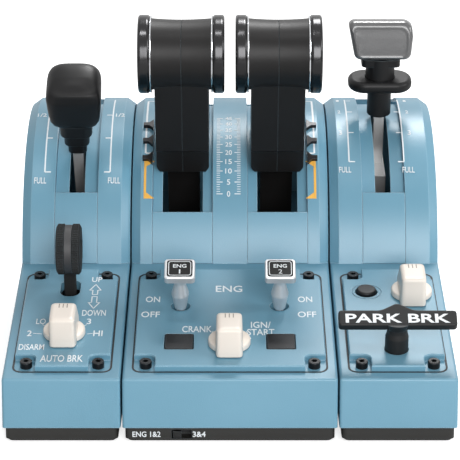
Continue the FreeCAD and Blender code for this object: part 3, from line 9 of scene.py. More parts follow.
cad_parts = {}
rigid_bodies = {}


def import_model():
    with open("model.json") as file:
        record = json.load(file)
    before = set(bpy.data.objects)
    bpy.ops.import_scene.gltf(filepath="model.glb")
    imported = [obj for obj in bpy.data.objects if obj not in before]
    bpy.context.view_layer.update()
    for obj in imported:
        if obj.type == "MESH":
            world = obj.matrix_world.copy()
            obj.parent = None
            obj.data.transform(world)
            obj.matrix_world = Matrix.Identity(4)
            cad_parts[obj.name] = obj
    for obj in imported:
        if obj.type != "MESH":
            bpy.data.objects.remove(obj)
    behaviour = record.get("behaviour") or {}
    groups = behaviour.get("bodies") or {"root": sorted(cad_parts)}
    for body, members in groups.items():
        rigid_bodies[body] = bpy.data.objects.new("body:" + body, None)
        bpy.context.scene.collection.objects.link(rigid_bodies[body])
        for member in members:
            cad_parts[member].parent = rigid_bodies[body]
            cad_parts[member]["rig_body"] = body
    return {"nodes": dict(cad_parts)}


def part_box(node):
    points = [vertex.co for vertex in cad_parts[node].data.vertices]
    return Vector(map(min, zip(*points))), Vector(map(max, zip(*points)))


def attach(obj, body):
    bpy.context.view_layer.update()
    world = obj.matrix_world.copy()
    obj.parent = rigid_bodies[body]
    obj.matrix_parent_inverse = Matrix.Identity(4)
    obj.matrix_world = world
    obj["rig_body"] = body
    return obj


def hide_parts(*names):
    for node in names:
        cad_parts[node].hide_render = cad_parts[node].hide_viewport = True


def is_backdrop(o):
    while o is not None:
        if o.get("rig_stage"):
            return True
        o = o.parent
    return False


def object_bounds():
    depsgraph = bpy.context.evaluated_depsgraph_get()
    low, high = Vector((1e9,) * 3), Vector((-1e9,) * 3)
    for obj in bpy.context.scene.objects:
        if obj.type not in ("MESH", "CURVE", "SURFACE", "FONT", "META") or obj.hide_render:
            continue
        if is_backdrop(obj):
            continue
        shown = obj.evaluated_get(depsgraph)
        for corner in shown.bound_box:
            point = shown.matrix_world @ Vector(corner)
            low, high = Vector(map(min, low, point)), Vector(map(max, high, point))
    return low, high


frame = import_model()
cad_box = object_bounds()

# ---- camera ----------------------------------------------------------------------------------------------
# A long lens straight in front of the unit and a little above it, looking down on the panels.
# It stands on the middle line, so left and right show alike.
view = bpy.data.cameras.new("front_camera")
view.lens = 170.0
view.sensor_width = 36.0
camera = bpy.data.objects.new("front_camera", view)
camera.location = (0.0, -1.2836, 0.4965)
camera.rotation_euler = (math.radians(72.0), 0.0, 0.0)
bpy.context.scene.collection.objects.link(camera)
bpy.context.scene.camera = camera

# ---- floor and light -------------------------------------------------------------------------------------
# A wide sheet of pale paper under a white sky, both of which light the unit only weakly. A large soft box
# stands in front and small ones to the right, overhead and behind, and the last lights the tops and throws
# the levers' shadows forward over the decks.
PAPER_GLOW = 0.72
SKY_LIGHT = 0.14
bpy.context.scene.view_settings.view_transform = "Standard"


def links_of(tree):
    """Gives the function that joins two sockets of one node tree."""
    def join(a, a_socket, b, b_socket):
        tree.links.new(a.outputs[a_socket], b.inputs[b_socket])
    return join


paper = bpy.data.materials.new("floor_paper")
paper.use_nodes = True
tree = paper.node_tree
tree.nodes.clear()
join = links_of(tree)
path = tree.nodes.new("ShaderNodeLightPath")
white = tree.nodes.new("ShaderNodeBsdfDiffuse")
white.inputs["Color"].default_value = (0.86, 0.86, 0.86, 1.0)
glow = tree.nodes.new("ShaderNodeEmission")
glow.inputs["Color"].default_value = (1.0, 1.0, 1.0, 1.0)
seen = tree.nodes.new("ShaderNodeMath")
seen.operation = "MULTIPLY"
seen.inputs[1].default_value = PAPER_GLOW
both = tree.nodes.new("ShaderNodeAddShader")
sheet = tree.nodes.new("ShaderNodeOutputMaterial")
join(path, "Is Camera Ray", seen, 0)
join(seen, 0, glow, "Strength")
join(white, 0, both, 0)
join(glow, 0, both, 1)
join(both, 0, sheet, "Surface")

bm = bmesh.new()
bmesh.ops.create_grid(bm, x_segments=1, y_segments=1, size=6.0)
floor_mesh = bpy.data.meshes.new("floor")
bm.to_mesh(floor_mesh)
bm.free()
floor = bpy.data.objects.new("floor", floor_mesh)
floor.data.materials.append(paper)
bpy.context.scene.collection.objects.link(floor)
floor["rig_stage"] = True

world = bpy.data.worlds.new("studio")
world.use_nodes = True
bpy.context.scene.world = world
tree = world.node_tree
tree.nodes.clear()
join = links_of(tree)
path = tree.nodes.new("ShaderNodeLightPath")
mirrored = tree.nodes.new("ShaderNodeMath")
mirrored.operation = "MAXIMUM"
shown = tree.nodes.new("ShaderNodeMath")
shown.operation = "MAXIMUM"
level = tree.nodes.new("ShaderNodeMapRange")
level.inputs["To Min"].default_value = SKY_LIGHT
level.inputs["To Max"].default_value = 1.0
sky = tree.nodes.new("ShaderNodeBackground")
sky.inputs["Color"].default_value = (1.0, 1.0, 1.0, 1.0)
out = tree.nodes.new("ShaderNodeOutputWorld")
join(path, "Is Glossy Ray", mirrored, 0)
join(path, "Is Transmission Ray", mirrored, 1)
join(mirrored, 0, shown, 0)
join(path, "Is Camera Ray", shown, 1)
join(shown, 0, level, "Value")
join(level, "Result", sky, "Strength")
join(sky, 0, out, "Surface")

for name, place, aim, size, power in (
    ("front_box", (0.35, -2.0, 0.85), (0, 0, 0.08), 1.1, 33.0),
    ("right_box", (1.5, -0.5, 0.8), (0, 0, 0.1), 0.6, 9.0),
    ("top_box", (-0.1, -0.35, 1.7), (0, 0, 0.1), 0.2, 3.0),
    ("back_box", (0.25, 0.9, 1.5), (0, -0.05, 0.08), 0.45, 17.0),
):
    lamp = bpy.data.lights.new(name, "AREA")
    lamp.shape = "SQUARE"
    lamp.size = size
    lamp.energy = power
    box_light = bpy.data.objects.new(name, lamp)
    box_light.location = place
    box_light.rotation_euler = (Vector(aim) - Vector(place)).to_track_quat("-Z", "Y").to_euler()
    bpy.context.scene.collection.objects.link(box_light)

# ---- shells ----------------------------------------------------------------------------------------------
# Three injection moulded shells in satin steel blue with a fine spark-eroded texture, screwed to their
# trays from below. Each has a sloping deck in front and a dome round the lever shaft behind.
MM = 0.001


def grain_group():
    """Fine moulded texture: height for a bump, and soft blotches for colour and roughness."""
    group = bpy.data.node_groups.new("moulded_texture", "ShaderNodeTree")
    face = group.interface
    face.new_socket("Vector", in_out="INPUT", socket_type="NodeSocketVector")
    face.new_socket("Grain", in_out="INPUT", socket_type="NodeSocketFloat").default_value = 2500.0
    face.new_socket("Blotch", in_out="INPUT", socket_type="NodeSocketFloat").default_value = 22.0
    face.new_socket("Height", in_out="OUTPUT", socket_type="NodeSocketFloat")
    face.new_socket("Mottle", in_out="OUTPUT", socket_type="NodeSocketFloat")
    join = links_of(group)
    ins = group.nodes.new("NodeGroupInput")
    outs = group.nodes.new("NodeGroupOutput")
    grain = group.nodes.new("ShaderNodeTexNoise")
    grain.inputs["Detail"].default_value = 2.0
    pits = group.nodes.new("ShaderNodeTexVoronoi")
    blotch = group.nodes.new("ShaderNodeTexNoise")
    blotch.inputs["Detail"].default_value = 3.0
    height = group.nodes.new("ShaderNodeMix")
    height.inputs["Factor"].default_value = 0.4
    join(ins, "Vector", grain, "Vector")
    join(ins, "Grain", grain, "Scale")
    join(ins, "Vector", pits, "Vector")
    join(ins, "Grain", pits, "Scale")
    join(ins, "Vector", blotch, "Vector")
    join(ins, "Blotch", blotch, "Scale")
    join(grain, "Fac", height, 2)
    join(pits, "Distance", height, 3)
    join(height, 0, outs, "Height")
    join(blotch, "Fac", outs, "Mottle")
    return group


def edge_highlight_group():
    """Edges rounded for the light alone, and a mask that rises to Strength along them, for a painted
    highlight.
    """
    group = bpy.data.node_groups.new("painted_edge_highlight", "ShaderNodeTree")
    face = group.interface
    face.new_socket("Radius", in_out="INPUT", socket_type="NodeSocketFloat").default_value = 0.3 * MM
    face.new_socket("Strength", in_out="INPUT", socket_type="NodeSocketFloat").default_value = 0.1
    face.new_socket("Normal", in_out="OUTPUT", socket_type="NodeSocketVector")
    face.new_socket("Wear", in_out="OUTPUT", socket_type="NodeSocketFloat")
    join = links_of(group)
    ins = group.nodes.new("NodeGroupInput")
    outs = group.nodes.new("NodeGroupOutput")
    rounded = group.nodes.new("ShaderNodeBevel")
    rounded.samples = 4
    surface = group.nodes.new("ShaderNodeNewGeometry")
    bend = group.nodes.new("ShaderNodeVectorMath")
    bend.operation = "DOT_PRODUCT"
    edge_glint = group.nodes.new("ShaderNodeMapRange")
    edge_glint.inputs["From Min"].default_value = 0.995
    edge_glint.inputs["From Max"].default_value = 0.86
    join(ins, "Radius", rounded, "Radius")
    join(ins, "Strength", edge_glint, "To Max")
    join(rounded, "Normal", bend, 0)
    join(surface, "Normal", bend, 1)
    join(bend, "Value", edge_glint, "Value")
    join(rounded, "Normal", outs, "Normal")
    join(edge_glint, "Result", outs, "Wear")
    return group


moulded_texture = grain_group()
painted_edge_highlight = edge_highlight_group()
# Pale tone mixed into the edges of every finish as a painted highlight.
EDGE_HIGHLIGHT_TONE = (206, 232, 244)
GRAIN_DEPTH = 0.08
GLOSS_SPREAD = 0.06
COAT_ROUGHNESS = 0.12


def linear(red, green, blue):
    """Colour given in the 0 to 255 steps of a paint chart, as linear light."""
    steps = [c / 255 for c in (red, green, blue)]
    return tuple(((c + 0.055) / 1.055) ** 2.4 if c > 0.04 else c / 12.92 for c in steps)


def finish_of(name, light, dark, rough, grain=2500.0, bump=0.3, edge=0.3, metal=0.0, specular=0.5, coat=0.0,
              wear=0.1):
    """Finish of two close tones in soft blotches, with a roughness that follows them, a grain and rounded
    edges painted paler as a highlight. The tones are in paint chart steps and the edge radius is in
    millimetres."""
    made = bpy.data.materials.new(name)
    made.use_nodes = True
    tree = made.node_tree
    join = links_of(tree)
    shader = tree.nodes["Principled BSDF"]
    where = tree.nodes.new("ShaderNodeTexCoord")
    texture = tree.nodes.new("ShaderNodeGroup")
    texture.node_tree = moulded_texture
    texture.inputs["Grain"].default_value = grain
    tone = tree.nodes.new("ShaderNodeMix")
    tone.data_type = "RGBA"
    tone.inputs["A"].default_value = (*linear(*dark), 1.0)
    tone.inputs["B"].default_value = (*linear(*light), 1.0)
    satin = tree.nodes.new("ShaderNodeMapRange")
    satin.inputs["To Min"].default_value = rough - GLOSS_SPREAD
    satin.inputs["To Max"].default_value = rough + GLOSS_SPREAD
    edge_glint = tree.nodes.new("ShaderNodeGroup")
    edge_glint.node_tree = painted_edge_highlight
    edge_glint.inputs["Radius"].default_value = edge * MM
    edge_glint.inputs["Strength"].default_value = wear
    paler = tree.nodes.new("ShaderNodeMix")
    paler.data_type = "RGBA"
    paler.inputs["B"].default_value = (*linear(*EDGE_HIGHLIGHT_TONE), 1.0)
    relief = tree.nodes.new("ShaderNodeBump")
    relief.inputs["Strength"].default_value = bump
    relief.inputs["Distance"].default_value = GRAIN_DEPTH * MM
    join(where, "Object", texture, "Vector")
    join(texture, "Mottle", tone, "Factor")
    join(texture, "Mottle", satin, "Value")
    join(texture, "Height", relief, "Height")
    join(edge_glint, "Normal", relief, "Normal")
    join(edge_glint, "Wear", paler, "Factor")
    join(tone, "Result", paler, "A")
    join(paler, "Result", shader, "Base Color")
    join(satin, "Result", shader, "Roughness")
    join(relief, "Normal", shader, "Normal")
    shader.inputs["Metallic"].default_value = metal
    shader.inputs["Specular IOR Level"].default_value = specular
    shader.inputs["Coat Weight"].default_value = coat
    shader.inputs["Coat Roughness"].default_value = COAT_ROUGHNESS
    return made


def dress(material, *names):
    """Gives one finish to whole CAD nodes."""
    for name in names:
        for held in frame["nodes"][name].material_slots:
            held.material = material


# The shells carry the strongest painted edge highlight.
shell_blue = finish_of("shell_blue", (108, 155, 177), (99, 147, 169), 0.34, 1700.0, 0.75, 0.7, wear=0.5)
dress(shell_blue, "left_shell", "centre_shell", "right_shell")

# ---- face plates -----------------------------------------------------------------------------------------
# A raised plate of the same blue plastic on each deck, let in by 2 mm and held by four socket head
# screws at its notched corners. A thin black strip in the gap round its foot is painted shade.
UP_FROM_DECK = (0, -0.17, 0.98)
SHADE_STRIP_LEVEL = -4.05
SHADE_STRIP_GAP = 0.6
SHADE_STRIP_CORNER = 4.6
SHADE_STRIP_WIDTH = 1.1
SHADE_STRIP_THICK = 0.25
dress(shell_blue, "left_face_plate", "centre_face_plate", "right_face_plate")
# Near-black for the strips in the plate gaps, where it is painted shade, and for the tile frames.
strip_black = finish_of("strip_black", (20, 26, 30), (12, 16, 20), 0.6)


def face_of(node, toward):
    """Frame on the largest flat face of a CAD node that looks that way, and its width and length."""
    mesh = frame["nodes"][node].data
    areas = {}
    for polygon in mesh.polygons:
        if polygon.normal.dot(Vector(toward)) > 0.75:
            height = round(polygon.center.dot(polygon.normal), 4)
            areas.setdefault((*(round(c, 2) for c in polygon.normal), height), []).append(polygon)
    flat = max(areas.values(), key=lambda group: sum(p.area for p in group))
    up = flat[0].normal.copy()
    across = Vector((1, 0, 0))
    across = (across - up * across.dot(up)).normalized()
    along = up.cross(across)
    spots = [mesh.vertices[v].co for p in flat for v in p.vertices]
    wide = [s.dot(across) for s in spots]
    long = [s.dot(along) for s in spots]
    middle = across * (min(wide) + max(wide)) / 2 + along * (min(long) + max(long)) / 2
    middle += up * spots[0].dot(up)
    turn = Matrix((across, along, up)).transposed().to_4x4()
    return Matrix.Translation(middle) @ turn, max(wide) - min(wide), max(long) - min(long)


def piece(name, bm, material, body, place=Matrix.Identity(4), sharp=40.0):
    """Closes a mesh piece: places it, turns its faces outwards, and lets it ride with its body. Edges
    that turn by more degrees than sharp stay crisp."""
    bmesh.ops.transform(bm, matrix=place, verts=bm.verts)
    bmesh.ops.recalc_face_normals(bm, faces=bm.faces)
    for f in bm.faces:
        f.smooth = True
    mesh = bpy.data.meshes.new(name)
    bm.to_mesh(mesh)
    bm.free()
    mesh.set_sharp_from_angle(angle=math.radians(sharp))
    made = bpy.data.objects.new(name, mesh)
    mesh.materials.append(material)
    bpy.context.scene.collection.objects.link(made)
    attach(made, body)
    return made


def verts_of(geom):
    """The corner points among what an operator gives back."""
    return [v for v in geom if isinstance(v, bmesh.types.BMVert)]


def tablet(width, length, corner, thick):
    """Flat rounded tablet in millimetres, its foot on the ground."""
    bm = bmesh.new()
    bmesh.ops.create_grid(bm, x_segments=1, y_segments=1, size=0.5)
    bmesh.ops.scale(bm, vec=(width, length, 1), verts=bm.verts)
    bmesh.ops.bevel(bm, geom=bm.verts[:], offset=corner, segments=5, profile=0.5, affect="VERTICES",
                    material=-1)
    raised = bmesh.ops.extrude_face_region(bm, geom=bm.faces[:])["geom"]
    bmesh.ops.translate(bm, vec=(0, 0, thick), verts=verts_of(raised))
    bmesh.ops.scale(bm, vec=(MM, MM, MM), verts=bm.verts)
    return bm


def frame_strip(width, length, corner, wide, thick):
    """Thin strip round a rounded rectangle, in millimetres: the rectangle is its inner edge."""
    bm = tablet(width + 2 * wide, length + 2 * wide, corner + wide, thick)
    flats = [f for f in bm.faces if abs(f.normal.z) > 0.9]
    bmesh.ops.inset_region(bm, faces=flats, thickness=wide * MM, use_even_offset=True)
    bmesh.ops.bridge_loops(bm, edges=[e for f in flats for e in f.edges])
    bmesh.ops.delete(bm, geom=flats, context="FACES_ONLY")
    return bm


plates = {}
for side in ("left", "centre", "right"):
    place, wide, long = face_of(side + "_face_plate", UP_FROM_DECK)
    plates[side] = place
    # Each plate gets a black strip in the gap round its foot as painted shade.
    foot = place @ Matrix.Translation((0, 0, SHADE_STRIP_LEVEL * MM))
    strip = frame_strip(wide / MM + 2 * SHADE_STRIP_GAP, long / MM + 2 * SHADE_STRIP_GAP, SHADE_STRIP_CORNER,
                        SHADE_STRIP_WIDTH, SHADE_STRIP_THICK)
    piece(side + "_shade_strip", strip, strip_black, "housing", foot)

# ---- printed labels --------------------------------------------------------------------------------------
# Pad printed white lettering on the face plates: the names of the controls and their places, and two
# hollow arrows beside the wheel lever. Fine leader lines join each knob place to its name.
white_ink = finish_of("white_ink", (240, 244, 246), (228, 234, 238), 0.5, 1500.0, 0.1)
INK = 0.06
LABEL_WEIGHT = 0.012
LEADER_WIDTH = 0.5
ARROW_X = 14.5
ARROW_LINE = 0.65
ARROW_SHANK = 1.5
ARROW_HALF = 3.4
ARROW_HEAD = 7.0


def merge_into(bm, part):
    """Moves everything of one bmesh into another."""
    held = bpy.data.meshes.new("held")
    part.to_mesh(held)
    part.free()
    bm.from_mesh(held)
    bpy.data.meshes.remove(held)


def lettering(bm, words, x, y, width, height, place, weight=0.0):
    """Adds words as thin raised ink, fitted to a width and height in millimetres round a point of a face."""
    line = bpy.data.curves.new("line", "FONT")
    line.body = words
    line.resolution_u = 3
    line.offset = weight
    held = bpy.data.objects.new("line", line)
    flat = bpy.data.meshes.new_from_object(held)
    bpy.data.objects.remove(held)
    ink = bmesh.new()
    ink.from_mesh(flat)
    bpy.data.meshes.remove(flat)
    bmesh.ops.remove_doubles(ink, verts=ink.verts, dist=0.0005)
    xs = [v.co.x for v in ink.verts]
    ys = [v.co.y for v in ink.verts]
    middle = Vector((-(min(xs) + max(xs)) / 2, -(min(ys) + max(ys)) / 2, 0))
    bmesh.ops.translate(ink, vec=middle, verts=ink.verts)
    grow = (width / (max(xs) - min(xs)) * MM, height / (max(ys) - min(ys)) * MM, 1)
    bmesh.ops.scale(ink, vec=grow, verts=ink.verts)
    raised = bmesh.ops.extrude_face_region(ink, geom=ink.faces[:])["geom"]
    bmesh.ops.translate(ink, vec=(0, 0, INK * MM), verts=verts_of(raised))
    bmesh.ops.recalc_face_normals(ink, faces=ink.faces)
    bmesh.ops.transform(ink, matrix=place @ Matrix.Translation((x * MM, y * MM, 0)), verts=ink.verts)
    merge_into(bm, ink)


def stroke(bm, x0, y0, x1, y1, wide, place):
    """Adds one straight printed line between two points of a face, in millimetres."""
    run = Vector((x1 - x0, y1 - y0, 0))
    bar = tablet(run.length + wide, wide, wide * 0.2, INK)
    turn = Matrix.Rotation(math.atan2(run.y, run.x), 4, "Z")
    middle = Matrix.Translation(((x0 + x1) / 2 * MM, (y0 + y1) / 2 * MM, 0))
    bmesh.ops.transform(bar, matrix=place @ middle @ turn, verts=bar.verts)
    merge_into(bm, bar)


labels = {
    "left": [("UP", 14.9, 43.6, 6.2, 6.0), ("DOWN", 15.2, 3.0, 14.0, 7.0), ("LO", -15.3, -7.0, 5.6, 6.4),
             ("3", 12.8, -7.0, 2.6, 6.4), ("2", -21.0, -20.8, 2.8, 6.4), ("HI", 18.8, -20.8, 5.4, 6.4),
             ("DISARM", -18.6, -36.3, 14.6, 6.6), ("AUTO BRK", -0.4, -49.0, 24.4, 7.4)],
    "centre": [("ENG", -0.6, 32.0, 16.0, 7.8), ("ON", -46.0, 19.2, 8.6, 6.8), ("ON", 44.8, 19.2, 8.6, 6.8),
               ("OFF", -46.9, 1.2, 11.0, 6.8), ("OFF", 45.4, 1.2, 11.0, 6.8),
               ("CRANK", -19.2, -16.0, 17.4, 7.2), ("IGN/", 18.0, -11.0, 11.6, 7.2),
               ("START", 17.9, -19.4, 15.9, 7.2)],
}
leaders = {
    "left": [((-14.0, -11.0), (-10.5, -13.5), (-12.0, -16.0), (-9.5, -18.0)),
             ((11.5, -11.0), (8.5, -13.5), (10.0, -16.0), (7.5, -18.0)),
             ((-18.5, -20.8), (-14.0, -21.5)), ((15.5, -20.8), (12.8, -21.5))],
    "centre": [((-10.0, -18.5), (-12.0, -27.0)), ((9.6, -18.5), (12.0, -27.0))],
}
for side, rows in labels.items():
    ink = bmesh.new()
    for words, x, y, wide, high in rows:
        lettering(ink, words, x, y, wide, high, plates[side], LABEL_WEIGHT)
    for run in leaders[side]:
        for (x0, y0), (x1, y1) in zip(run, run[1:]):
            stroke(ink, x0, y0, x1, y1, LEADER_WIDTH, plates[side])
    if side == "left":
        for way, low, tip in ((1, 25.0, 37.4), (-1, 22.6, 8.4)):
            neck = tip - way * ARROW_HEAD
            outline = [(-ARROW_SHANK, low), (-ARROW_SHANK, neck), (-ARROW_HALF, neck), (0, tip),
                       (ARROW_HALF, neck), (ARROW_SHANK, neck), (ARROW_SHANK, low), (-ARROW_SHANK, low)]
            for (x0, y0), (x1, y1) in zip(outline, outline[1:]):
                stroke(ink, ARROW_X + x0, y0, ARROW_X + x1, y1, ARROW_LINE, plates[side])
    piece(side + "_labels", ink, white_ink, "housing")

# ---- trays -----------------------------------------------------------------------------------------------
# Dark grey moulded trays under each shell, with a small taper at the foot and rubber feet. The middle one
# carries a slide switch in a window, with its two places printed beside it.
tray_grey = finish_of("tray_grey", (33, 32, 29), (25, 24, 22), 0.5, 2200.0, 0.5, 0.4)
dress(tray_grey, "left_tray", "centre_tray", "right_tray")
rubber = finish_of("rubber", (24, 24, 24), (17, 17, 17), 0.75, 3200.0, 0.6, specular=0.3)
dress(rubber, "rubber_feet")
zinc = finish_of("zinc", (150, 150, 146), (130, 130, 128), 0.35, 1800.0, 0.2, metal=1.0)
dress(zinc, "link_plates", "link_screws", "base_screws")
slider_black = finish_of("slider_black", (18, 18, 18), (10, 10, 10), 0.35, 1800.0, 0.2)
dress(slider_black, "engine_select_slider")
nub_low, nub_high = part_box("engine_select_slider")
nub = (nub_low + nub_high) / 2
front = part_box("centre_tray")[0].y
tray_face = Matrix.Translation((nub.x, front, nub.z)) @ Matrix.Rotation(math.radians(90.0), 4, "X")
ink = bmesh.new()
lettering(ink, "ENG 1&2", -17.5, 0.0, 16.0, 3.4, tray_face, 0.02)
lettering(ink, "3&4", 12.4, 0.0, 7.4, 3.4, tray_face, 0.02)
piece("tray_labels", ink, white_ink, "housing")

# ---- lever tracks and scales -----------------------------------------------------------------------------
# Curved blue liners let into the domes, one round each lever slot, sunk below the dome's skin. The scales
# are printed on the domes, white, with yellow brackets for the reverse range. Their angles count from a line
# that rises 18 degrees from the level.
LEVEL = 18.0
BRACKET_X = 53.0
BRACKET_FOOT = 37.1
BRACKET_TOP = 73.5
REVERSE_FOOT = 18.4
REVERSE_TOP = 33.6
dress(shell_blue, "side_tracks", "centre_tracks")
yellow_ink = finish_of("yellow_ink", (244, 186, 82), (236, 176, 72), 0.5, 1500.0, 0.1)
shaft_low, shaft_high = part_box("pivot_shafts")
pivot = Vector((0, (shaft_low.y + shaft_high.y) / 2, (shaft_low.z + shaft_high.z) / 2))
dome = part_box("centre_shell")[1].z - pivot.z


def on_dome(x, angle):
    """Frame on the dome's skin at a place across it, in millimetres, and an angle up from the front."""
    a = math.radians(angle)
    out = Vector((0, -math.cos(a), math.sin(a)))
    along = Vector((0, math.sin(a), math.cos(a)))
    turn = Matrix((Vector((1, 0, 0)), along, out)).transposed().to_4x4()
    return Matrix.Translation(pivot + out * dome + Vector((x * MM, 0, 0))) @ turn


def arc_mark(bm, x0, x1, low, high):
    """Adds a printed band that follows the dome from one angle to another, in millimetres across."""
    strip = bmesh.new()
    spot = on_dome(0, low).translation
    out = (spot - pivot).normalized() * INK * MM
    corners = ((x0, 0), (x1, 0), (x1, 1), (x0, 1))
    ends = [strip.verts.new(spot + out * k + Vector((x * MM, 0, 0))) for x, k in corners]
    start = strip.faces.new(ends)
    steps = max(1, round((high - low) / 1.5))
    bmesh.ops.spin(strip, geom=[start, *start.edges, *ends], cent=pivot, axis=(1, 0, 0),
                   angle=math.radians(low - high), steps=steps, use_duplicate=False)
    bmesh.ops.recalc_face_normals(strip, faces=strip.faces)
    merge_into(bm, strip)


def tick(bm, x, reach, angle, half):
    """Adds a printed tick at a reading angle, from one place across the dome and as long as its reach."""
    arc_mark(bm, min(x, x + reach), max(x, x + reach), LEVEL + angle - half, LEVEL + angle + half)


ink = bmesh.new()
fives = (20.2, 24.8, 29.3, 33.3, 37.4, 41.3, 45.1, 48.9, 52.7, 56.4)
for count, a in enumerate(fives):
    for x, reach in ((-8.4, 3.8), (6.6, -3.8)):
        tick(ink, x, reach, a, 0.17)
    words = str(5 * count)
    lettering(ink, words, -0.9, 0, 2.1 * len(words), 3.8, on_dome(0, LEVEL + a), LABEL_WEIGHT)
for a, b in zip(fives, fives[1:]):
    for k in range(1, 5):
        for x, reach in ((-8.4, 2.2), (6.6, -2.2)):
            tick(ink, x, reach, a + (b - a) * k / 5, 0.12)
for way in (-1, 1):
    line = way * BRACKET_X
    arc_mark(ink, line - 0.6, line + 0.6, LEVEL + BRACKET_FOOT, LEVEL + BRACKET_TOP)
    for a in (BRACKET_FOOT, BRACKET_TOP):
        tick(ink, line, -way * 5.0, a, 0.3)
piece("centre_scale", ink, white_ink, "housing")

ink = bmesh.new()
for way in (-1, 1):
    line = way * BRACKET_X
    arc_mark(ink, line - 0.75, line + 0.75, LEVEL + REVERSE_FOOT, LEVEL + REVERSE_TOP)
    for a, turn in ((REVERSE_TOP, -1), (REVERSE_FOOT, 1)):
        for step in range(6):
            reach = -way * 5.6 * (1 - step / 6)
            tick(ink, line, reach, a + turn * (step + 0.5) * 0.42, 0.21)
piece("reverse_scale", ink, yellow_ink, "housing")

for side, middle, out, foot, rows in (
    ("left", -95.3, 20.4, 28.9, [("", 44.6), ("1/2", 59.0)]),
    ("right", 91.8, 17.2, 33.3, [("3", 47.6), ("2", 61.6), ("1", 74.2)]),
):
    ink = bmesh.new()
    for way in (-1, 1):
        line = middle + way * out
        arc_mark(ink, line - 0.45, line + 0.45, LEVEL + foot, LEVEL + 76.0)
        lettering(ink, "FULL", line + way * 2.6, -6.2, 7.6, 4.4, on_dome(0, LEVEL + foot), LABEL_WEIGHT)
        for words, a in [("", foot), *rows]:
            tick(ink, line, -way * 3.8, a, 0.25)
            if words:
                spot = on_dome(0, LEVEL + a)
                lettering(ink, words, line + way * 4.6, 0, 1.9 * len(words), 4.4, spot, LABEL_WEIGHT)
    piece(side + "_scale", ink, white_ink, "housing")

# ---- fixings and inner parts -----------------------------------------------------------------------------
# Black oxide socket screws hold the plates. Inside stand black side frames with steel shafts, angle
# sensors, encoders and switches on green boards, and a black cable socket is let into the rear wall.
oxide = finish_of("black_oxide", (34, 34, 36), (24, 24, 26), 0.32, 1800.0, 0.25, 0.3, metal=0.6)
dress(oxide, "plate_screws", "detent_tabs")
frame_black = finish_of("frame_black", (40, 40, 42), (32, 32, 34), 0.5, 2200.0, 0.4)
dress(frame_black, "lever_frames", "shaft_spacers", "switch_bodies", "knob_encoders", "lever_sensors",
      "rear_socket", "gear_pivot")
board_green = finish_of("board_green", (46, 96, 62), (34, 82, 50), 0.45, 900.0, 0.15)
dress(board_green, "circuit_boards")
steel = finish_of("brushed_steel", (196, 196, 198), (168, 168, 172), 0.3, 1400.0, 0.25, 0.3, metal=1.0)
dress(steel, "pivot_shafts")

# ---- thrust levers ---------------------------------------------------------------------------------------
# Two black moulded halves clamp each lever arm: a broad block below, a round cross grip on top. A polished
# gunmetal ring closes each end of the grip, with a bright bead where it meets the grip.
HARD_EDGE = 32.0
GRIP_RING_WIDTH = 7.2
BEAD = ((0.05, 0.5), (0.5, 0.25), (0.85, 0.5), (0.85, 2.6), (0.05, 2.6))
lever_black = finish_of("lever_black", (30, 29, 29), (23, 22, 22), 0.42, 2600.0, 0.35, 0.5, specular=0.22)
dress(lever_black, "left_thrust_arm", "right_thrust_arm", "left_disconnect_button", "right_disconnect_button")
gunmetal = finish_of("gunmetal", (66, 66, 67), (50, 50, 51), 0.2, 1600.0, 0.06, 0.4, metal=1.0)
bright_metal = finish_of("bright_metal", (226, 228, 230), (206, 208, 212), 0.12, 1600.0, 0.05, 0.2, metal=1.0)
dress(gunmetal, "left_grip_rings", "right_grip_rings")


def softened(node, material, edge):
    """Copy of a CAD node with its sharp edges rounded by a radius in millimetres, shown in its place."""
    source = frame["nodes"][node]
    bm = bmesh.new()
    bm.from_mesh(source.data)
    bmesh.ops.remove_doubles(bm, verts=bm.verts, dist=0.00001)
    bmesh.ops.dissolve_limit(bm, angle_limit=math.radians(0.6), verts=bm.verts, edges=bm.edges)
    limit = math.radians(HARD_EDGE)
    hard = [e for e in bm.edges if len(e.link_faces) == 2 and e.calc_face_angle() > limit]
    bmesh.ops.bevel(bm, geom=hard, offset=edge * MM, segments=3, profile=0.5, affect="EDGES",
                    clamp_overlap=True, material=-1)
    made = piece("soft_" + node, bm, material, source["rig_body"], sharp=60.0)
    shading = made.modifiers.new("face_weight", "WEIGHTED_NORMAL")
    shading.keep_sharp = True
    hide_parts(node)
    return made


def turned(outline, steps, closed=True):
    """Ring turned round the X axis from an outline of places across and radii, in millimetres."""
    bm = bmesh.new()
    rim = [bm.verts.new((x, 0, r)) for x, r in outline]
    loop = [bm.edges.new(pair) for pair in zip(rim, rim[1:] + rim[:closed])]
    bmesh.ops.spin(bm, geom=[*rim, *loop], cent=(0, 0, 0), axis=(1, 0, 0), angle=math.tau, steps=steps,
                   use_merge=True, use_duplicate=False)
    bmesh.ops.scale(bm, vec=(MM, MM, MM), verts=bm.verts)
    return bm


for side in ("left", "right"):
    for half in ("outer", "inner"):
        softened(side + "_thrust_" + half + "_half", lever_black, 0.9)
    low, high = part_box(side + "_grip_rings")
    hub = (low + high) / 2
    ring = (high.z - low.z) / 2 / MM
    inner = (high.x - low.x) / 2 / MM - GRIP_RING_WIDTH
    beads = bmesh.new()
    for way in (-1, 1):
        merge_into(beads, turned([(way * (inner - a), ring - b) for a, b in BEAD], 96))
    piece(side + "_grip_beads", beads, bright_metal, side + "_thrust_lever", Matrix.Translation(hub))

# ---- speed-brake lever -----------------------------------------------------------------------------------
# A steel blade carries a stepped black neck and a palm knob. The knob is one moulding with an arched rear
# edge, a crowned palm face and a low lip along its front, pushed over the blade's tang.
BRAKE_ANGLE = 58.0
KNOB_POINTS = 96
KNOB_FRONT = 6.5
KNOB_BACK = 4.2
knob_black = finish_of("knob_black", (26, 26, 27), (19, 19, 20), 0.4, 2600.0, 0.25, 0.9, specular=0.22)
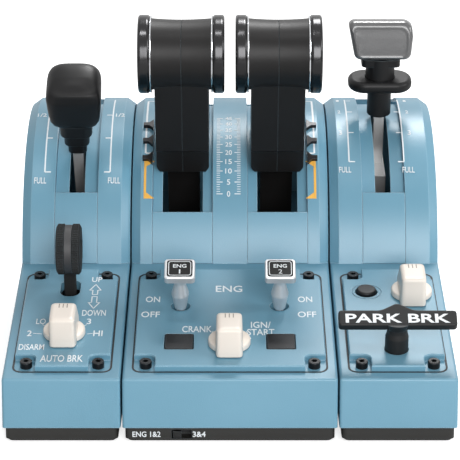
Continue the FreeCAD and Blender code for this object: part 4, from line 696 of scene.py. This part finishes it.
# Paler and less metallic than the shafts' steel, so that the blades show lit down in their shaded slots:
# painted light.
lit_blade_steel = finish_of("lit_blade_steel", (214, 214, 214), (188, 188, 188), 0.36, 1400.0, 0.3, 0.2, metal=0.55)
dress(lit_blade_steel, "speedbrake_blade")
softened("speedbrake_neck", knob_black, 0.7)


def loft(rings):
    """Skin drawn out from a first closed ring of points through the others, in millimetres, and capped at
    both ends. An extrusion starts on the ring it leaves, which is how its points are told apart."""
    bm = bmesh.new()
    rim = [bm.verts.new(Vector(spot) * MM) for spot in rings[0]]
    loop = bm.faces.new(rim).edges[:]
    for ring in rings[1:]:
        drawn = bmesh.ops.extrude_edge_only(bm, edges=loop)["geom"]
        fresh = {tuple(v.co): v for v in verts_of(drawn)}
        rim = [fresh[tuple(v.co)] for v in rim]
        loop = [e for e in drawn if isinstance(e, bmesh.types.BMEdge)]
        for v, spot in zip(rim, ring):
            v.co = Vector(spot) * MM
    bm.faces.new(rim)
    return bm


def lever_frame(angle, x):
    """Frame on the lever pivot whose up direction points along a lever at that angle, in degrees."""
    return Matrix.Translation(pivot + Vector((x, 0, 0))) @ Matrix.Rotation(math.radians(90 - angle), 4, "X")


def height_range(node, angle, x):
    """Lowest and highest place of a CAD node along its lever, in millimetres from the pivot."""
    back = lever_frame(angle, x).inverted()
    heights = [(back @ v.co).z / MM for v in frame["nodes"][node].data.vertices]
    return min(heights), max(heights)


low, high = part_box("speedbrake_knob")
brake_x = (low.x + high.x) / 2
half = (high.x - low.x) / 2 / MM
foot, top = height_range("speedbrake_knob", BRAKE_ANGLE, brake_x)
tall = top - foot


def palm_ring(wide, front, back, rise, ridge=0.0, square=1.0):
    """Plan outline of the palm knob, square in front and arched behind, or a plain oval where square is
    0. A ridge lifts its front edge."""
    ring = []
    for k in range(KNOB_POINTS):
        c, n = math.cos(math.tau * k / KNOB_POINTS), math.sin(math.tau * k / KNOB_POINTS)
        power = 1 - square * (1 - 2 / (KNOB_BACK if n > 0 else KNOB_FRONT))
        x = wide * math.copysign(abs(c) ** power, c)
        y = (back if n > 0 else front) * abs(n) ** power
        ring.append((x, y, rise + ridge * max(0.0, -n) ** 0.6))
    return ring


rings = []
for wide, front, back, share in (
    (0.52, -10.2, 9.6, 0.0), (0.68, -11.4, 11.2, 0.02), (0.82, -12.4, 12.4, 0.08), (0.91, -12.9, 13.4, 0.17),
    (0.95, -13.2, 14.6, 0.32), (0.975, -13.6, 16.2, 0.52), (0.99, -13.9, 17.4, 0.68),
    (0.985, -13.7, 17.6, 0.735), (0.97, -13.3, 17.4, 0.775),
):
    rings.append(palm_ring(half * wide, front, back, foot + tall * share))
for inset, share, ridge in (
    (0.945, 0.82, 0.4), (0.91, 0.86, 0.6), (0.87, 0.89, 0.2), (0.82, 0.915, -0.5), (0.75, 0.94, -1.1),
    (0.65, 0.96, -1.2), (0.5, 0.977, -0.8), (0.34, 0.987, -0.4), (0.16, 0.992, -0.1), (0.04, 0.993, 0.0),
):
    rings.append(palm_ring(half * inset, -14.0 * inset, 17.8 * inset, foot + tall * share, ridge, inset))
knob = piece("palm_knob", loft(rings), knob_black, "speedbrake_lever", lever_frame(BRAKE_ANGLE, brake_x))
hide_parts("speedbrake_knob")

# ---- flap lever ------------------------------------------------------------------------------------------
# A steel blade with a round sleeve, a finger collar that lifts against a spring, and a paddle handle above
# it, slanted on its left end. The mouldings are black, and the paddle is a polished dark grey.
# The flap blade takes the same lightened steel, painted light.
dress(lit_blade_steel, "flap_blade")
dress(knob_black, "flap_sleeve")
softened("flap_collar", knob_black, 0.8)
softened("flap_neck", knob_black, 0.8)
paddle_black = finish_of("paddle_black", (94, 94, 95), (80, 80, 81), 0.3, 2600.0, 0.12, 0.3, coat=0.6)
FLAP_ANGLE = 79.6
PADDLE_ROOM = 0.2
PADDLE_TOP_ROOM = 0.3
ARC_STEPS = 10
FRONT_FOOT, FRONT_LEAN = -9.6, 5.6
BACK_FOOT, BACK_LEAN = 7.4, -2.2
UPRIGHT = 0.12
low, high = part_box("flap_paddle")
flap_x = (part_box("flap_sleeve")[0].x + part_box("flap_sleeve")[1].x) / 2
left = (low.x - flap_x) / MM + PADDLE_ROOM
right = (high.x - flap_x) / MM - PADDLE_ROOM
foot, top = height_range("flap_paddle", FLAP_ANGLE, flap_x)
tall = top - foot - PADDLE_TOP_ROOM
corners = [(left * 0.78, 0.0, 4.4), (right * 0.94, 0.0, 4.6), (right, tall * 0.6, 8.0),
           (right * 0.95, tall, 6.0), (left, tall, 3.0)]
outline = []
for k, (cx, cz, round_r) in enumerate(corners):
    here = Vector((cx, cz))
    before = (Vector(corners[k - 1][:2]) - here).normalized()
    after = (Vector(corners[(k + 1) % 5][:2]) - here).normalized()
    half_turn = before.angle(after) / 2
    reach = round_r / math.tan(half_turn)
    middle = here + (before + after).normalized() * round_r / math.sin(half_turn)
    start = here + before * reach - middle
    end = here + after * reach - middle
    for step in range(ARC_STEPS + 1):
        outline.append(middle + start.lerp(end, step / ARC_STEPS).normalized() * round_r)
centre = Vector(((left + right) / 2, tall / 2))


def paddle_ring(inset, share, dish=0.0):
    """Paddle outline drawn in by an inset, at a share of the way from its front face to its back.
    Both faces stand upright at the foot and lean together above it, and the front may be dished."""
    ring = []
    for spot in outline:
        off = spot - centre
        x = centre.x + off.x * (1 - inset / 20)
        z = centre.y + off.y * (1 - inset / 12)
        rise = max(0.0, z / tall - UPRIGHT) / (1 - UPRIGHT)
        front = FRONT_FOOT + FRONT_LEAN * rise ** 1.5
        back = BACK_FOOT + BACK_LEAN * rise
        ring.append((x, front + (back - front) * share + dish, foot + z))
    return ring


rings = [paddle_ring(*row) for row in (
    (7.5, 0.0, 0.55), (4.6, 0.0, 0.5), (3.4, 0.0, 0.35), (2.7, 0.0), (1.6, 0.02), (0.8, 0.07), (0.25, 0.14),
    (0.0, 0.24), (0.0, 0.7), (0.4, 0.84), (1.4, 0.95), (3.0, 1.0), (6.0, 1.0))]
paddle = piece("paddle", loft(rings), paddle_black, "flap_lever", lever_frame(FLAP_ANGLE, flap_x))
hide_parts("flap_paddle")

# ---- gear lever ------------------------------------------------------------------------------------------
# A short black stem with a small wheel on top, made of rubber: two ribbed treads with a smooth worn band
# between them, and flat hubs sunk into its sides.
RIB_ANGLE = 2.5
RIB_DEPTH = 0.5
TREAD_DEPTH = 0.8
HUB_SUNK = 0.7
dress(rubber, "gear_stem")
band_grey = finish_of("worn_rubber", (60, 60, 62), (44, 44, 46), 0.5, 1200.0, 0.3)
low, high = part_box("gear_wheel")
hub = (low + high) / 2
radius = (high.z - low.z) / 2 / MM
half = (high.x - low.x) / 2 / MM
outline = [(half, radius * 0.45), (half, radius - 1.6), (half - 1.0, radius), (half * 0.36, radius),
           (half * 0.3, radius - TREAD_DEPTH)]
tyre = turned([(-x, r) for x, r in outline] + outline[::-1], round(360 / RIB_ANGLE), closed=False)
for v in tyre.verts:
    turn = round(math.degrees(math.atan2(v.co.y, v.co.z)) / RIB_ANGLE)
    out = Vector((0, v.co.y, v.co.z))
    if turn % 2 and out.length > (radius - TREAD_DEPTH / 2) * MM:
        v.co -= out.normalized() * RIB_DEPTH * MM
for way in (-1, 1):
    side = [e for e in tyre.edges if e.is_boundary and e.verts[0].co.x * way > 0]
    hub_edge = bmesh.ops.extrude_edge_only(tyre, edges=side)["geom"]
    bmesh.ops.translate(tyre, vec=(-way * HUB_SUNK * MM, 0, 0), verts=verts_of(hub_edge))
    fresh = [e for e in hub_edge if isinstance(e, bmesh.types.BMEdge)]
    bmesh.ops.contextual_create(tyre, geom=fresh)
wheel = piece("gear_tyre", tyre, rubber, "gear_lever", Matrix.Translation(hub), sharp=20.0)
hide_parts("gear_wheel")
strip = ((-0.3, 0.82), (-0.28, 0.6), (0.28, 0.6), (0.3, 0.82))
band = turned([(x * half, radius - depth) for x, depth in strip], 96)
piece("gear_band", band, band_grey, "gear_lever", Matrix.Translation(hub))

# ---- selector knobs --------------------------------------------------------------------------------------
# Three ivory rotary selectors: a bevelled disc with a tall pointer bar across it, moulded in one and
# pressed on an encoder shaft. Three fine grey lines on the flat top of each bar are painted shade in its
# grooves.
ivory = finish_of("ivory", (234, 225, 215), (224, 214, 203), 0.36, 2000.0, 0.12, 0.5, coat=0.1)
# Grey of the lines on the bar tops: painted shade in the grooves.
groove_shade_grey = finish_of("groove_shade_grey", (150, 142, 132), (128, 120, 112), 0.6)
BAR_HEIGHT = 18.0
BAR_HALF = 7.85
BAR_POINTS = 80
BAR_TAPER = 0.03
FRONT_TAPER = 0.06
TOP_BACK = 4.0
DISC_HEIGHT = 3.4
DISC_EDGE = 1.1
SHAFT_R = 3.0
GROOVE_WIDTH = 0.55


def bar_ring(half, front, back, rise):
    """Plan outline of a knob bar at a height, a rectangle with rounded corners."""
    ring = []
    for k in range(BAR_POINTS):
        c, n = math.cos(math.tau * k / BAR_POINTS), math.sin(math.tau * k / BAR_POINTS)
        x = half * math.copysign(abs(c) ** 0.24, c)
        y = (front + back) / 2 + (back - front) / 2 * math.copysign(abs(n) ** (0.24 if n < 0 else 0.2), n)
        ring.append((x, y, rise))
    return ring


for name, body in (("autobrake_knob", "autobrake_selector"), ("mode_knob", "mode_selector"),
                   ("trim_knob", "trim_selector")):
    place = face_of(name, UP_FROM_DECK)[0]
    spots = [place.inverted() @ v.co / MM for v in frame["nodes"][name].data.vertices]
    low = Vector([min(v[axis] for v in spots) for axis in range(3)])
    high = Vector([max(v[axis] for v in spots) for axis in range(3)])
    middle = (low + high) / 2
    foot = place @ Matrix.Translation(Vector((middle.x, middle.y, -BAR_HEIGHT)) * MM)
    half = (high.y - low.y) / 2
    disc_r = (high.x - low.x) / 2 * MM
    slope = (half - TOP_BACK) / (BAR_HEIGHT - DISC_HEIGHT)
    rings = [bar_ring(BAR_HALF, -half, half - 0.1, 0.3)]
    for rise in (1.2, DISC_HEIGHT, 8.0, 13.0, 15.4, 16.2):
        back = half - max(0.0, rise - DISC_HEIGHT) * slope
        rings.append(bar_ring(BAR_HALF - rise * BAR_TAPER, rise * FRONT_TAPER - half, back, rise))
    for inset, rise in (
        (0.12, 16.7), (0.45, 17.2), (0.95, 17.6), (1.6, 17.88), (2.4, 17.97), (4.0, 18.0), (6.5, 18.0),
    ):
        rings.append(bar_ring(7.35 - inset, 1.0 - half + inset, 5.0 - inset, rise))
    bar = loft(rings)
    disc = bmesh.ops.create_cone(bar, segments=96, radius1=disc_r, radius2=disc_r, depth=DISC_HEIGHT * MM,
                                 cap_ends=True)["verts"]
    bmesh.ops.translate(bar, vec=(0, 0, DISC_HEIGHT / 2 * MM), verts=disc)
    rim = {v for v in disc if v.co.z > DISC_HEIGHT / 2 * MM}
    top = [e for e in bar.edges if rim.issuperset(e.verts)]
    bmesh.ops.bevel(bar, geom=top, offset=DISC_EDGE * MM, segments=3, profile=0.5, affect="EDGES",
                    material=-1)
    drop = -low.z - BAR_HEIGHT
    shaft = bmesh.ops.create_cone(bar, segments=32, radius1=SHAFT_R * MM, radius2=SHAFT_R * MM,
                                  depth=drop * MM, cap_ends=True)["verts"]
    bmesh.ops.translate(bar, vec=(0, 0, -drop / 2 * MM), verts=shaft)
    knob = piece(name + "_moulding", bar, ivory, body, foot)
    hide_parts(name)
    top = foot @ Matrix.Translation((0, 0, BAR_HEIGHT * MM))
    grooves = bmesh.new()
    for x in (-2.3, 0.0, 2.3):
        stroke(grooves, x, -1.6, x, 2.3, GROOVE_WIDTH, top)
    piece(name + "_grooves", grooves, groove_shade_grey, body)

# ---- engine switches -------------------------------------------------------------------------------------
# Two toggle switches on satin double-cone stems. Each square cap is a silver frame round a matt black
# face with the engine's number, and a thin white line runs round the face.
FACE_MARGIN = 1.0
FACE_THICK = 0.12
LINE_MARGIN = 2.3
LINE_THICK = 0.16
satin_steel = finish_of("satin_steel", (216, 218, 220), (198, 200, 203), 0.3, 1800.0, 0.2, 0.3, metal=0.6)
face_black = finish_of("face_black", (14, 14, 15), (8, 8, 9), 0.5, 1800.0, 0.05, specular=0.2)
dress(satin_steel, "engine_1_switch_stem", "engine_2_switch_stem")
for number in ("1", "2"):
    cap = "engine_" + number + "_switch_cap"
    place, wide, long = face_of(cap, (0, -0.6, 0.8))
    wide, long = wide / MM, long / MM
    body = "engine_" + number + "_switch"
    softened(cap, satin_steel, 0.9)
    face = tablet(wide - 2 * FACE_MARGIN, long - 2 * FACE_MARGIN, 1.6, FACE_THICK)
    piece(cap + "_face", face, face_black, body, place)
    line = frame_strip(wide - 2 * LINE_MARGIN, long - 2 * LINE_MARGIN, 1.2, 0.45, LINE_THICK)
    piece(cap + "_line", line, white_ink, body, place)
    ink = bmesh.new()
    up = place @ Matrix.Translation((0, 0, FACE_THICK * MM))
    lettering(ink, "ENG", 0, long * 0.13, wide * 0.46, long * 0.19, up, 0.02)
    lettering(ink, number, 0, -long * 0.17, wide * (0.05 if number == "1" else 0.13), long * 0.22, up, 0.0)
    piece(cap + "_label", ink, white_ink, body)

# ---- push buttons ----------------------------------------------------------------------------------------
# Two square black tiles beside the mode selector and one round black button in a groove on the right
# plate, all moulded. A thin black strip frames each tile, and each button drops 1 mm when pressed.
button_black = finish_of("button_black", (20, 20, 22), (13, 13, 15), 0.42, 2400.0, 0.2, 0.4, specular=0.3)
for name in ("engine_1_tile_button", "engine_2_tile_button", "round_button"):
    softened(name, button_black, 0.5)
for number in ("1", "2"):
    place, wide, long = face_of("engine_" + number + "_tile_button", UP_FROM_DECK)
    rim = frame_strip(wide / MM - 1.0, long / MM - 1.0, 1.0, 0.4, 0.05)
    piece("tile_" + number + "_rim", rim, strip_black, "engine_" + number + "_tile", place)

# ---- park-brake handle -----------------------------------------------------------------------------------
# A charcoal T-handle on a waisted stem, moulded in one colour with rounded edges. Bold white letters are
# printed on its front face, and it turns on its stem.
handle_black = finish_of("handle_black", (29, 30, 31), (22, 23, 24), 0.45, 2000.0, 0.6, 0.6, specular=0.25)
dress(handle_black, "park_brake_stem")
place = face_of("park_brake_handle", (0, -0.92, 0.38))[0]
softened("park_brake_handle", handle_black, 1.1)
ink = bmesh.new()
lettering(ink, "PARK BRK", 0, -2.9, 59.6, 6.4, place, 0.025)
piece("park_brake_label", ink, white_ink, "park_brake")

size = {"cad": [list(map(float, c)) for c in cad_box], "scene": [list(map(float, c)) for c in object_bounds()]}
